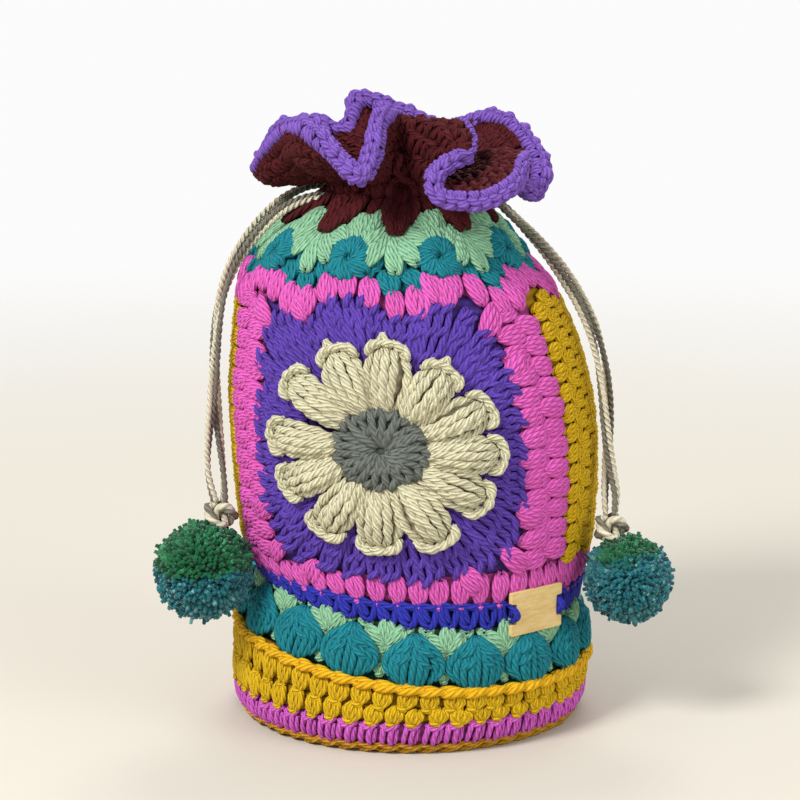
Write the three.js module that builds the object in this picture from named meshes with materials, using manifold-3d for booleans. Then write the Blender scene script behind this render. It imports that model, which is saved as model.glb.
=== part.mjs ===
// A crocheted drawstring pouch: a round base, a wall worked in coloured rounds, a flower square
// front and back with side strips between, a gathered neck with a ruffled collar, and two cords
// with pompoms. Millimetres, +Z up. The origin is the centre of the base on the surface that the
// pouch stands on, +X is its right and its front faces -Y.
// Places on the wall are given as an angle round the pouch (0 in front, positive to the right),
// a level up the wall and a depth: 0 on the stitches' outer face, negative into the wall.

import * as THREE from "three";
import { mergeVertices } from "three/addons/utils/BufferGeometryUtils.js";
import Module from "manifold-3d";

const wasm = await Module();
wasm.setup();

// Driving dimensions
const POUCH_WIDTH = 132; // at the top of the base, the widest of its rounds
const POUCH_DEPTH = 130.6; // front to back, at the same place
const SIDE_RISE = 10; // of the rounds over the base, at the sides
const GAP = 0.3; // between pieces that touch
const WALL = 6; // thickness of the crocheted wall
const EDGE_ROUNDING = 1; // how far a round's upper and lower edge draw in
const BASE_THICKNESS = 4.5;
const BASE_EDGE_HEIGHT = 3.6;
const ORCHID_HEIGHT = 8.8;
const MUSTARD_HEIGHT = 5.7; // each of two rounds
const RIDGE_HEIGHT = 2.6;
const RIDGE_STANDS_OUT = 2.2;
const PUFF_ROUND_HEIGHT = 17.2;
const MINT_ROUND_HEIGHT = 2.6;
const NAVY_HEIGHT = 8;
const LOWER_PINK_HEIGHT = 10.4;
const SQUARE_HEIGHT = 95.6;
const UPPER_PINK_HEIGHT = 12.2;
const TEAL_HEIGHT = 7.4;
const TOP_MINT_HEIGHT = 10.5;
const NECK_HEIGHT = 11;
const PUFFS = 17;
const PUFF_WIDTH = 20.6;
const PUFF_STANDS_OUT = 6.2;
const PUFF_FIRST = -1; // degrees
const LEAF_DROP = 6; // how far a mint leaf reaches down between two puffs
const SQUARE_MIDDLE = -9.5; // degrees, for the front square: the back one is opposite
const SQUARE_ANGLE = 91; // degrees of the wall that the purple ground takes
const BORDER_ANGLE = 19; // degrees of each pink border column
const BORDER_STITCHES = 13;
const PETALS = 12;
const PETAL_LENGTH = 22.4;
const PETAL_WIDTH = 16.6;
const PETAL_THICKNESS = 6.4;
const PETAL_SPREAD = 0.3; // share of its width that a petal gains towards its tip
const FLOWER_CENTRE_RADIUS = 15;
const FLOWER_CENTRE_THICKNESS = 4.4;
const FLOWER_ABOVE_MIDDLE = -1.4; // the flower's centre over the middle of its square
const PLEATS = 9;
const PLEAT_FIRST = -17; // degrees, where one pleat stands out most
const PLEAT_DEPTH = 7; // at the neck, to either side of the cloth's middle
const WAVE = 3; // how far the upper rounds' edges rise at each pleat
const COLLAR_THICKNESS = 4;
const COLLAR_THINS = 0.3; // share of its thickness that the collar loses by its edge
const EDGING_RADIUS = 2.6;
const CORD_DIAMETER = 3.4;
const CORD_RING_INSET = 8; // from the neck's pleats in to the cords' way round it
const CORD_RING_HEIGHT = 0.38; // share of the neck's height
const CORD_CLEARANCE = 0.8;
const KNOT_RADIUS = 3.5;
const KNOT_STRAND = 1.7;
const KNOT_TIGHT = 0.8; // share of its loose width and height that a pulled knot keeps
const POMPOM_LEFT_RADIUS = 18;
const POMPOM_RIGHT_RADIUS = 17;
const POMPOM_UNEVEN = 0.035; // share of its radius that its cut ends vary by
const TAG_WIDTH = 25;
const TAG_HEIGHT = 16;
const TAG_THICKNESS = 1.6;
const TAG_NOTCH_DEPTH = 2.6;
const TAG_NOTCH_HEIGHT = 7.6;
const TAG_ANGLE = 42.5; // degrees round the pouch
const TAG_ABOVE_MIDDLE = 0.75; // its centre over the middle of the navy round
const TAG_TIE_RADIUS = 0.9;
const TAG_TIE_ARCH = [
  // shares of the notch's half height, and lift in thicknesses of the tag
  [-1, 0.2],
  [-0.6, 1.5],
  [0, 2.1],
  [0.6, 1.5],
  [1, 0.2],
];
const ROUND_COLUMNS = 26;
const CORD_WAY_COLUMNS = 22;
const PLEAT_COLUMNS = 7; // columns of each pleat

// Levels where one round ends and the next begins, added up from the base
const RISE = {};
RISE.base = 0;
RISE.orchid = RISE.base + BASE_EDGE_HEIGHT;
RISE.mustardLower = RISE.orchid + ORCHID_HEIGHT;
RISE.mustardUpper = RISE.mustardLower + MUSTARD_HEIGHT;
RISE.ridge = RISE.mustardUpper + MUSTARD_HEIGHT;
RISE.puffs = RISE.ridge + RIDGE_HEIGHT;
RISE.mint = RISE.puffs + PUFF_ROUND_HEIGHT;
RISE.navy = RISE.mint + MINT_ROUND_HEIGHT;
RISE.lowerPink = RISE.navy + NAVY_HEIGHT;
RISE.square = RISE.lowerPink + LOWER_PINK_HEIGHT;
RISE.upperPink = RISE.square + SQUARE_HEIGHT;
RISE.teal = RISE.upperPink + UPPER_PINK_HEIGHT;
RISE.topMint = RISE.teal + TEAL_HEIGHT;
RISE.neck = RISE.topMint + TOP_MINT_HEIGHT;
RISE.collar = RISE.neck + NECK_HEIGHT;

const HALF_WIDTH = POUCH_WIDTH / 2;
const HALF_DEPTH = POUCH_DEPTH / 2;

// The wall's reach to the left, to the right and to front and back, by level, in shares of half
// the pouch's width and half its depth
const REACH = [
  [RISE.base, 0.924, 0.924, 0.911],
  [RISE.orchid, 0.985, 0.985, 0.965],
  [RISE.mustardLower, 1, 1, 1],
  [RISE.ridge, 0.977, 1, 0.988],
  [RISE.puffs + 0.5 * PUFF_ROUND_HEIGHT, 0.871, 0.939, 0.926],
  [RISE.navy, 0.856, 0.947, 0.904],
  [RISE.square, 0.939, 1.023, 0.896],
  [RISE.square + 0.2 * SQUARE_HEIGHT, 0.977, 1.045, 0.904],
  [RISE.square + 0.43 * SQUARE_HEIGHT, 1, 1.045, 0.896],
  [RISE.square + 0.63 * SQUARE_HEIGHT, 1.008, 1, 0.873],
  [RISE.square + 0.84 * SQUARE_HEIGHT, 0.985, 0.909, 0.819],
  [RISE.upperPink + 0.05 * UPPER_PINK_HEIGHT, 0.955, 0.788, 0.766],
  [RISE.teal, 0.869, 0.629, 0.669],
  [RISE.topMint, 0.777, 0.547, 0.599],
  [RISE.neck, 0.545, 0.41, 0.46],
  [RISE.neck + 0.4 * NECK_HEIGHT, 0.482, 0.36, 0.411],
  [RISE.collar, 0.47, 0.333, 0.398],
].map(([level, left, right, front]) => [level, left * HALF_WIDTH, right * HALF_WIDTH, front * HALF_DEPTH]);

// How much higher than in front the rounds lie at the sides, where the base was worked askew
const SKEW = [
  [RISE.base, 0],
  [RISE.mustardLower, 0.1],
  [RISE.ridge, 1],
  [RISE.mint, 1],
  [RISE.lowerPink - 0.5 * NAVY_HEIGHT, 0.7],
  [RISE.lowerPink + 0.5 * LOWER_PINK_HEIGHT, 0.3],
  [RISE.square + 0.1 * SQUARE_HEIGHT, 0],
  [RISE.collar, 0],
].map(([level, share]) => [level, share * SIDE_RISE]);

// Depth of the pleats, from none on the body to the drawn-in neck
const GATHER = [
  [RISE.base, 0],
  [RISE.upperPink - 0.1 * SQUARE_HEIGHT, 0],
  [RISE.teal, 0.17],
  [RISE.topMint, 0.43],
  [RISE.neck, 0.86],
  [RISE.neck + 0.4 * NECK_HEIGHT, 1],
  [RISE.collar, 1],
].map(([level, share]) => [level, share * PLEAT_DEPTH]);

// The collar's edge, from the left side over the front to the right and back: the angle at the
// neck, the edge's place over the neck's top, and how far the collar swells on its way there, both in
// shares of half the pouch's width
const COLLAR = [
  { at: -112, edge: [-0.804, 0.121, 0.03], swell: 0.121 },
  { at: -100, edge: [-0.817, 0.015, -0.045], swell: 0.152 },
  { at: -88, edge: [-0.733, -0.136, 0.061], swell: 0.182 },
  { at: -74, edge: [-0.705, -0.273, 0.197], swell: 0.212 },
  { at: -60, edge: [-0.591, -0.409, 0.242], swell: 0.197 },
  { at: -46, edge: [-0.465, -0.561, 0.136], swell: 0.152 },
  { at: -34, edge: [-0.339, -0.697, 0.045], swell: 0.106 },
  { at: -24, edge: [-0.24, -0.758, 0], swell: 0.076 },
  { at: -16, edge: [-0.183, -0.606, 0.152], swell: 0.045 },
  { at: -8, edge: [-0.141, -0.424, 0.318], swell: 0.03 },
  { at: 0, edge: [-0.028, -0.258, 0.409], swell: 0.061 },
  { at: 8, edge: [0.113, -0.212, 0.364], swell: 0.197 },
  { at: 18, edge: [0.24, -0.318, 0.303], swell: 0.227 },
  { at: 28, edge: [0.254, -0.5, 0.167], swell: 0.167 },
  { at: 38, edge: [0.126, -0.697, 0.045], swell: 0.091 },
  { at: 46, edge: [0.197, -0.833, -0.106], swell: 0.061 },
  { at: 56, edge: [0.366, -0.803, -0.121], swell: 0.061 },
  { at: 66, edge: [0.536, -0.636, -0.03], swell: 0.091 },
  { at: 76, edge: [0.578, -0.455, 0.106], swell: 0.106 },
  { at: 86, edge: [0.536, -0.258, 0.061], swell: 0.061 },
  { at: 96, edge: [0.662, -0.136, -0.106], swell: 0.061 },
  { at: 106, edge: [0.733, 0, 0], swell: 0.091 },
  { at: 118, edge: [0.648, 0.167, 0.167], swell: 0.121 },
  { at: 134, edge: [0.55, 0.333, 0.333], swell: 0.136 },
  { at: 150, edge: [0.408, 0.409, 0.364], swell: 0.061 },
  { at: 164, edge: [0.197, 0.333, 0.303], swell: 0.03 },
  { at: 178, edge: [0, 0.455, 0.303], swell: 0.121 },
  { at: 192, edge: [-0.225, 0.5, 0.409], swell: 0.152 },
  { at: 206, edge: [-0.339, 0.364, 0.288], swell: 0.045 },
  { at: 220, edge: [-0.507, 0.394, 0.273], swell: 0.121 },
  { at: 234, edge: [-0.648, 0.303, 0.258], swell: 0.121 },
];

// Each free cord's way down from the neck to its knot, point by point
const CORD_LEFT_FRONT = [
  [-25.9, -4.8, 192.6],
  [-33, -8, 193.5],
  [-39, -9, 192.3],
  [-46, -10, 188.8],
  [-54, -11.5, 181.5],
  [-61.5, -13, 171.5],
  [-66.5, -14.5, 160.5],
  [-69, -16, 148],
  [-70.3, -17, 136],
  [-71.2, -18, 124],
  [-72.2, -19, 112],
  [-73.7, -20, 100],
  [-75.6, -21.5, 89],
  [-75.4, -22.7, 80],
  [-73, -23.8, 70.6],
];
const CORD_LEFT_BACK = [
  [-23.9, 9.2, 192.6],
  [-30, 11.5, 194.8],
  [-37.5, 11, 194.6],
  [-46.5, 7, 190.5],
  [-54.5, 3, 183.5],
  [-62, -1, 174],
  [-67.6, -4, 163],
  [-70.6, -6.5, 151],
  [-71.6, -9, 138],
  [-71.6, -11.5, 125],
  [-71.2, -14, 113],
  [-71, -16, 101],
  [-70.8, -18.5, 90],
  [-70, -20.5, 80],
  [-69.3, -22.8, 70.2],
];
const CORD_RIGHT_FRONT = [
  [18, -2.2, 196.4],
  [22.5, -3, 197.6],
  [28.5, -4.5, 194],
  [35, -6, 187.8],
  [41.5, -8, 181],
  [48.5, -10, 173.5],
  [55.5, -12, 164],
  [61.5, -13.5, 154],
  [65.5, -15, 143],
  [68, -16.5, 132],
  [69.8, -17.7, 120],
  [71.2, -19, 108],
  [72.6, -20.5, 96],
  [74, -22, 85],
  [75.6, -23.2, 75],
  [75.8, -24.3, 64.9],
];
const CORD_RIGHT_BACK = [
  [13.5, 12.5, 193.7],
  [19, 14, 194.5],
  [26, 14, 193],
  [33.5, 12.5, 188],
  [41.5, 9, 181.5],
  [49, 5, 174],
  [56.5, 1, 165],
  [63, -3, 155],
  [68, -6, 144],
  [71, -9, 132],
  [72.5, -11.5, 120],
  [73, -14, 108],
  [72.8, -16.5, 96],
  [72.2, -19, 85],
  [71.6, -21.3, 75],
  [71.9, -23.6, 65],
];
const CORD_LEFT_EXITS = [-77, 243]; // degrees from front, once round the neck
const CORD_RIGHT_EXITS = [83, -237];
const KNOT_LEFT = [-71.3, -24.1, 64.6];
const KNOT_RIGHT = [74, -24.6, 59.2];
const POMPOM_LEFT = [-76.4, -31.3, 43.2];
const POMPOM_RIGHT = [79.4, -30.4, 39.1];

// Colours and surfaces
const yarn = (color) => new THREE.MeshStandardMaterial({ color, roughness: 0.9, metalness: 0 });
const MUSTARD = yarn(0xd9a30f);
const DARK_MUSTARD = yarn(0xb98410);
const ORCHID = yarn(0xdb62c6);
const ORANGE = yarn(0xef9f1a);
const TEAL = yarn(0x1c7a85);
const MINT = yarn(0xa6dbae);
const NAVY = yarn(0x2e2f9c);
const HOT_PINK = yarn(0xec62b6);
const PURPLE = yarn(0x5c40a0);
const CREAM = yarn(0xd9cba8);
const GREY = yarn(0x6c7169);
const BURGUNDY = yarn(0x561019);
const VIOLET = yarn(0x7c55c0);
const GREEN_TEAL = yarn(0x0d6a57);
const CORD_YARN = yarn(0xb5ab98);
const WOOD = new THREE.MeshStandardMaterial({ color: 0xd8bc7c, roughness: 0.6, metalness: 0 });

const radians = THREE.MathUtils.degToRad;
const FULL_TURN = 360;
const model = new THREE.Group();

// A smooth curve through rows [level, value, value...], column by column
function along(rows, column, level) {
  const last = rows.length - 1;
  let i = rows.findIndex((row, k) => k < last && level <= rows[k + 1][0]);
  if (i < 0) i = last - 1;
  const slope = (k) => {
    const [a, b] = [rows[Math.max(k - 1, 0)], rows[Math.min(k + 1, last)]];
    return (b[column] - a[column]) / (b[0] - a[0]);
  };
  const run = rows[i + 1][0] - rows[i][0];
  const t = THREE.MathUtils.clamp((level - rows[i][0]) / run, 0, 1);
  const value = THREE.MathUtils.lerp(rows[i][column], rows[i + 1][column], t * t * (3 - 2 * t));
  const lean = t * (1 - t) * ((1 - t) * slope(i) - t * slope(i + 1)) * run;
  return value + lean;
}

// 1 where a pleat stands out, -1 in the fold between two
const pleatAt = (angle) => Math.cos(PLEATS * (angle - radians(PLEAT_FIRST)));

// The point of the wall at an angle, a level and a depth
function wall(angle, level, depth) {
  const left = along(REACH, 1, level);
  const right = along(REACH, 2, level);
  const front = along(REACH, 3, level);
  const step = 2;
  const taper = (along(REACH, 3, level - step) - along(REACH, 3, level + step)) / (2 * step);
  const tip = Math.atan(THREE.MathUtils.clamp(taper, -0.3, 1.2));
  const [s, c] = [Math.sin(angle), Math.cos(angle)];
  const half = (left + right) / 2;
  const outward = new THREE.Vector3(s / half, -c / front, 0).normalize();
  const out = outward.clone().multiplyScalar(Math.cos(tip)).setZ(Math.sin(tip));
  const skew = along(SKEW, 1, level) * (0.35 * s * s - 0.65 * s);
  const fold = along(GATHER, 1, level) * (1 - pleatAt(angle));
  return new THREE.Vector3((right - left) / 2 + half * s, -front * c, level + skew)
    .addScaledVector(out, depth)
    .addScaledVector(outward, -fold);
}

// A geometry with each vertex moved by place(x, y, z), as one closed mesh
function bend(geometry, place) {
  geometry.deleteAttribute("normal");
  geometry.deleteAttribute("uv");
  const position = geometry.getAttribute("position");
  const p = new THREE.Vector3();
  for (let i = 0; i < position.count; i++) {
    p.fromBufferAttribute(position, i);
    p.copy(place(p.x, p.y, p.z));
    position.setXYZ(i, p.x, p.y, p.z);
  }
  return mergeVertices(geometry, 1e-3);
}

function solid(geometry) {
  return new wasm.Manifold(
    new wasm.Mesh({
      numProp: 3,
      vertProperties: new Float32Array(geometry.getAttribute("position").array),
      triVerts: new Uint32Array(geometry.index.array),
    }),
  );
}

function geometryOf(made) {
  const { vertProperties, triVerts } = made.getMesh();
  return new THREE.BufferGeometry()
    .setAttribute("position", new THREE.BufferAttribute(vertProperties, 3))
    .setIndex(new THREE.BufferAttribute(triVerts, 1));
}

const joined = (geometries) =>
  geometryOf(geometries.map(solid).reduce((all, one) => all.add(one)));

function add(name, geometry, material) {
  geometry.computeVertexNormals();
  const mesh = new THREE.Mesh(geometry, material);
  mesh.name = name;
  model.add(mesh);
  return mesh;
}

// A lathe-turned ring whose profile [depth, share of height] is then laid along the wall
const RING_RADIUS = 100;
function ring(profile, columns, place) {
  const points = [...profile, profile[0]].map(([x, y]) => new THREE.Vector2(RING_RADIUS + x, y));
  return bend(new THREE.LatheGeometry(points, columns), (x, y, z) =>
    place(Math.atan2(x, z), y, Math.hypot(x, z) - RING_RADIUS),
  );
}

const between = (bottom, top, share) =>
  THREE.MathUtils.lerp(bottom + GAP / 2, top - GAP / 2, share);

// One crocheted round of the wall. lower and upper may shift its edges by angle.
function round(bottom, top, options = {}) {
  const { face = 0, lower = () => 0, upper = () => 0, columns = ROUND_COLUMNS, flat = false } = options;
  const crown = flat ? [] : [[face, 0.5]];
  const edge = face - (flat ? EDGE_ROUNDING / 2 : EDGE_ROUNDING);
  const profile = [[-WALL, 0], [edge, 0], ...crown, [edge, 1], [-WALL, 1]];
  return ring(profile, columns, (angle, share, depth) =>
    wall(angle, between(bottom + lower(angle), top + upper(angle), share), depth),
  );
}

// An ellipsoid laid on the wall: sizes along, across and out, turned from straight up, and
// how much wider it is towards its far end
function lump(centre, size, turn, segments) {
  const radius = along(REACH, 3, centre.level);
  const [columns, rows] = segments;
  return bend(new THREE.SphereGeometry(1, columns, rows), (x, y, z) => {
    const up = (centre.ahead ?? 0) + (y * size.length) / 2;
    const side = ((x * size.width) / 2) * (1 + (size.spread ?? 0) * y);
    const u = side * Math.cos(turn) + up * Math.sin(turn);
    const v = up * Math.cos(turn) - side * Math.sin(turn);
    return wall(centre.angle + u / radius, centre.level + v, centre.depth + (z * size.thickness) / 2);
  });
}

// Base: a worked disc, with the first rounds turned up round it
function base() {
  const [left, right, front] = [1, 2, 3].map((column) => along(REACH, column, RISE.base) - WALL - GAP);
  const profile = [
    [0, 0],
    [1, 0],
    [1, BASE_THICKNESS],
    [0, BASE_THICKNESS],
  ].map(([x, y]) => new THREE.Vector2(x, y));
  const disc = bend(new THREE.LatheGeometry(profile, ROUND_COLUMNS), (x, y, z) =>
    new THREE.Vector3((right - left) / 2 + (x * (left + right)) / 2, -z * front, y),
  );
  add("base_disc", disc, MUSTARD);
  const edge = ring(
    [
      [-WALL, 0],
      [-EDGE_ROUNDING, 0],
      [0, 0.5],
      [0, 1],
      [-WALL, 1],
    ],
    ROUND_COLUMNS,
    (angle, share, depth) => {
      const p = wall(angle, share * (RISE.orchid - GAP / 2), depth);
      return share === 0 ? p.setZ(0) : p;
    },
  );
  add("base_edge_round", edge, DARK_MUSTARD);
  add("base_orchid_round", round(RISE.orchid, RISE.mustardLower), ORCHID);
  add("base_mustard_round_lower", round(RISE.mustardLower, RISE.mustardUpper), MUSTARD);
  add("base_mustard_round_upper", round(RISE.mustardUpper, RISE.ridge), MUSTARD);
  add("orange_ridge_round", round(RISE.ridge, RISE.puffs, { face: RIDGE_STANDS_OUT }), ORANGE);
}

// How far an angle is from the nearest puff's middle, from 0 there to 1 midway between two
function fromPuff(angle) {
  const turns = ((angle - radians(PUFF_FIRST)) * PUFFS) / (2 * Math.PI);
  return 2 * Math.abs(turns - Math.round(turns));
}

// Puff stitches swell from their round, with mint leaves standing down between them
function puffsAndLeaves() {
  const leaf = (angle) => -LEAF_DROP * Math.max(0, 2 * fromPuff(angle) - 1);
  const pitch = 2 * Math.PI * along(REACH, 3, (RISE.puffs + RISE.mint) / 2) / PUFFS;
  const columns = 6 * PUFFS;
  const swell = [0, 0.3, 0.7, 1];
  const profile = [[-WALL, 0], ...swell.map((share) => [0, share]), [-WALL, 1]];
  const puffs = ring(profile, columns, (angle, share, depth) => {
    const level = between(RISE.puffs, RISE.mint + leaf(angle), share);
    if (depth < 0) return wall(angle, level, depth);
    const u = (fromPuff(angle) * pitch) / PUFF_WIDTH;
    const v = 2 * (share - 0.5);
    return wall(angle, level, PUFF_STANDS_OUT * Math.sqrt(Math.max(0, 1 - u * u - v * v)) - EDGE_ROUNDING);
  });
  add("teal_puff_round", puffs, TEAL);
  add("mint_leaf_round", round(RISE.mint, RISE.navy, { lower: leaf, columns, flat: true }), MINT);
}

// A panel of the wall between two angles, with stitches as ridges across it
function panel(from, to, columns, rows, ridge = 0) {
  const [start, end] = [radians(from), radians(to)];
  return bend(new THREE.BoxGeometry(1, 1, 1, columns, rows, 1), (x, y, z) => {
    const angle = THREE.MathUtils.lerp(start, end, x + 0.5);
    const level = between(RISE.square, RISE.upperPink, y + 0.5);
    const swell = ridge * (1 - Math.abs(Math.cos(Math.PI * rows * (y + 0.5) * 0.5)));
    return wall(angle, level, z > 0 ? -swell : -WALL);
  });
}

const sideGap = (GAP / 58) * (180 / Math.PI);

// A flower on its purple square, with a pink border column at each side
function square(name, middle) {
  const half = SQUARE_ANGLE / 2;
  const outer = half + BORDER_ANGLE;
  add(name + "_square_ground", panel(middle - half + sideGap, middle + half - sideGap, 10, 6), PURPLE);
  for (const [side, from, to] of [
    ["left", -outer, -half],
    ["right", half, outer],
  ])
    add(
      name + "_border_" + side,
      panel(middle + from + sideGap, middle + to - sideGap, 1, 2 * BORDER_STITCHES, 1.2),
      HOT_PINK,
    );
  const centre = {
    angle: radians(middle),
    level: (RISE.square + RISE.upperPink) / 2 + FLOWER_ABOVE_MIDDLE,
  };
  const disc = lump(
    { ...centre, depth: GAP + FLOWER_CENTRE_THICKNESS / 2 },
    { length: 2 * FLOWER_CENTRE_RADIUS, width: 2 * FLOWER_CENTRE_RADIUS, thickness: FLOWER_CENTRE_THICKNESS },
    0,
    [12, 4],
  );
  add(name + "_flower_centre", disc, GREY);
  const petals = [];
  for (let i = 0; i < PETALS; i++)
    petals.push(
      lump(
        {
          ...centre,
          depth: GAP + PETAL_THICKNESS / 2,
          ahead: FLOWER_CENTRE_RADIUS + GAP + PETAL_LENGTH / 2,
        },
        { length: PETAL_LENGTH, width: PETAL_WIDTH, thickness: PETAL_THICKNESS, spread: PETAL_SPREAD },
        (2 * Math.PI * i) / PETALS,
        [5, 4],
      ),
    );
  add(name + "_flower_petals", joined(petals), CREAM);
  return [middle - outer, middle + outer];
}

// The wall between base and neck
function body() {
  add("navy_round", round(RISE.navy, RISE.lowerPink), NAVY);
  add("lower_pink_round", round(RISE.lowerPink, RISE.square), HOT_PINK);
  const [frontLeft, frontRight] = square("front", SQUARE_MIDDLE);
  const [backRight, backLeft] = square("back", SQUARE_MIDDLE + FULL_TURN / 2);
  add("side_strip_right", panel(frontRight + sideGap, backRight - sideGap, 5, 8), MUSTARD);
  add("side_strip_left", panel(backLeft - FULL_TURN + sideGap, frontLeft - sideGap, 5, 8), MUSTARD);
  const wave = (angle) => WAVE * pleatAt(angle);
  const pleated = { upper: wave, columns: PLEATS * PLEAT_COLUMNS, flat: true };
  add("upper_pink_round", round(RISE.upperPink, RISE.teal, pleated), HOT_PINK);
  pleated.lower = wave;
  add("teal_scallop_round", round(RISE.teal, RISE.topMint, pleated), TEAL);
  add("mint_scallop_round", round(RISE.topMint, RISE.neck, pleated), MINT);
}

// The collar's edge and swell at any angle, as one smooth closed line
const collarEdge = new THREE.CatmullRomCurve3(
  COLLAR.map(({ edge }) =>
    new THREE.Vector3(...edge).multiplyScalar(HALF_WIDTH).add(new THREE.Vector3(0, 0, RISE.collar)),
  ),
  true,
);
function collarAt(angle) {
  const degrees = THREE.MathUtils.euclideanModulo(THREE.MathUtils.radToDeg(angle) - COLLAR[0].at, FULL_TURN);
  const turns = COLLAR.map(({ at }) => at - COLLAR[0].at);
  let i = turns.length - 1;
  while (degrees < turns[i]) i--;
  const t = (degrees - turns[i]) / ((turns[i + 1] ?? FULL_TURN) - turns[i]);
  const next = COLLAR[(i + 1) % COLLAR.length];
  return {
    edge: collarEdge.getPoint((i + t) / COLLAR.length),
    swell: THREE.MathUtils.lerp(COLLAR[i].swell, next.swell, t) * HALF_WIDTH,
  };
}

// The neck's wall, up to where the collar leaves it
const NECK_SHARE = 0.3;
function neck(angle, share, depth) {
  const bottom = RISE.neck + GAP / 2 + WAVE * pleatAt(angle);
  return wall(angle, THREE.MathUtils.lerp(bottom, RISE.collar, share / NECK_SHARE), depth);
}

// The middle of the collar's fabric, from the neck (share 0) to its edge (share 1)
function collar(angle, share) {
  if (share <= NECK_SHARE) return neck(angle, share, -WALL / 2);
  const { edge, swell } = collarAt(angle);
  const start = wall(angle, RISE.collar, -WALL / 2);
  const belly = start.clone().lerp(edge, 0.45);
  belly.add(new THREE.Vector3(Math.sin(angle), -Math.cos(angle), 0).multiplyScalar(swell));
  belly.z += 2;
  const t = (share - NECK_SHARE) / (1 - NECK_SHARE);
  return new THREE.QuadraticBezierCurve3(start, belly, edge).getPoint(t);
}

// The collar's own directions at a place: along its fabric towards the edge, and out of it
function collarFrame(angle, share) {
  const step = 0.02;
  const ahead = collar(angle, Math.min(share + step, 1)).sub(collar(angle, Math.max(share - step, 0)));
  const round = collar(angle + step, share).sub(collar(angle - step, share));
  return { ahead: ahead.clone().normalize(), out: round.cross(ahead).normalize() };
}

// The burgundy neck and collar in one, with the cords' way cut through its pleats
function neckAndCollar() {
  const rows = [0, NECK_SHARE, 0.5, 0.75, 1];
  const half = (share) => (COLLAR_THICKNESS / 2) * (1 - COLLAR_THINS * share);
  const outside = rows.map((share) => [half(share), share]);
  const inside = rows.map((share) => [-half(share), share]).reverse();
  const columns = PLEATS * PLEAT_COLUMNS;
  const cloth = ring([...outside, ...inside], columns, (angle, share, side) =>
    share <= NECK_SHARE
      ? neck(angle, share, side - WALL / 2)
      : collar(angle, share).addScaledVector(collarFrame(angle, share).out, side),
  );
  const room = CORD_DIAMETER / 2 + CORD_CLEARANCE;
  const levels = [cordLevel(0) - room, cordLevel(1) + room];
  const way = ring(
    [
      [-room, levels[0]],
      [room, levels[0]],
      [room, levels[1]],
      [-room, levels[1]],
    ],
    CORD_WAY_COLUMNS,
    (angle, level, side) => cordRing(angle, level, side),
  );
  add("burgundy_collar", geometryOf(solid(cloth).subtract(solid(way))), BURGUNDY);
  const sides = 5;
  const edging = ring(
    Array.from({ length: sides }, (_, i) => {
      const turn = (2 * Math.PI * i) / sides;
      return [EDGING_RADIUS * Math.cos(turn), EDGING_RADIUS * Math.sin(turn)];
    }),
    columns,
    (angle, ahead, side) => {
      const frame = collarFrame(angle, 1);
      return collar(angle, 1)
        .addScaledVector(frame.ahead, EDGING_RADIUS + 2.5 * GAP + ahead)
        .addScaledVector(frame.out, side);
    },
  );
  add("violet_collar_edging", edging, VIOLET);
}

// The two cords lie one over the other on an oval way round the neck
const CORD_RING_LEVEL = RISE.neck + CORD_RING_HEIGHT * NECK_HEIGHT;
const cordLevel = (tier) => CORD_RING_LEVEL + (tier - 0.5) * (CORD_DIAMETER + GAP);
function cordRing(angle, level, side = 0) {
  const [left, right, front] = [1, 2, 3].map((column) => along(REACH, column, CORD_RING_LEVEL));
  const out = side - CORD_RING_INSET;
  return new THREE.Vector3(
    (right - left) / 2 + ((left + right) / 2 + out) * Math.sin(angle),
    -(front + out) * Math.cos(angle),
    level,
  );
}

// A cord of eight sides along a smooth line through points
function cord(points, steps) {
  const sides = 8;
  const section = new THREE.Shape(
    Array.from({ length: sides }, (_, i) => {
      const turn = (2 * Math.PI * i) / sides;
      return new THREE.Vector2(Math.cos(turn), Math.sin(turn)).multiplyScalar(CORD_DIAMETER / 2);
    }),
  );
  const geometry = new THREE.ExtrudeGeometry(section, {
    extrudePath: new THREE.CatmullRomCurve3(points),
    steps,
    bevelEnabled: false,
  });
  return bend(geometry, (x, y, z) => new THREE.Vector3(x, y, z));
}

// Each cord goes once round inside the neck and comes out through two folds
function cordInNeck(name, tier, [from, to]) {
  const count = 18;
  const points = Array.from({ length: count + 1 }, (_, i) =>
    cordRing(radians(THREE.MathUtils.lerp(from, to, i / count)), cordLevel(tier)),
  );
  add(name, cord(points, count), CORD_YARN);
}

function hangingCord(name, route) {
  add(name, cord(route.map((p) => new THREE.Vector3(...p)), route.length + 1), CORD_YARN);
}

// A knot pulled tight, lying across the cord
function knot(name, centre) {
  const tied = new THREE.TorusKnotGeometry(KNOT_RADIUS, KNOT_STRAND, 36, 5, 2, 3);
  const place = new THREE.Vector3(...centre);
  const pulled = bend(tied, (x, y, z) => new THREE.Vector3(KNOT_TIGHT * x, -z, KNOT_TIGHT * y).add(place));
  add(name, pulled, CORD_YARN);
}

function pompom(name, centre, radius) {
  const place = new THREE.Vector3(...centre);
  const lumps = [11, 13, 12];
  const tufts = (p) =>
    POMPOM_UNEVEN * Math.sin(lumps[0] * p.x + 4) * Math.sin(lumps[1] * p.y + 1) * Math.sin(lumps[2] * p.z);
  const ball = bend(new THREE.IcosahedronGeometry(1, 3), (x, y, z) => {
    const p = new THREE.Vector3(x, y, z).normalize();
    return p.multiplyScalar(radius * (1 - POMPOM_UNEVEN + tufts(p))).add(place);
  });
  add(name, ball, GREEN_TEAL);
}

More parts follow.
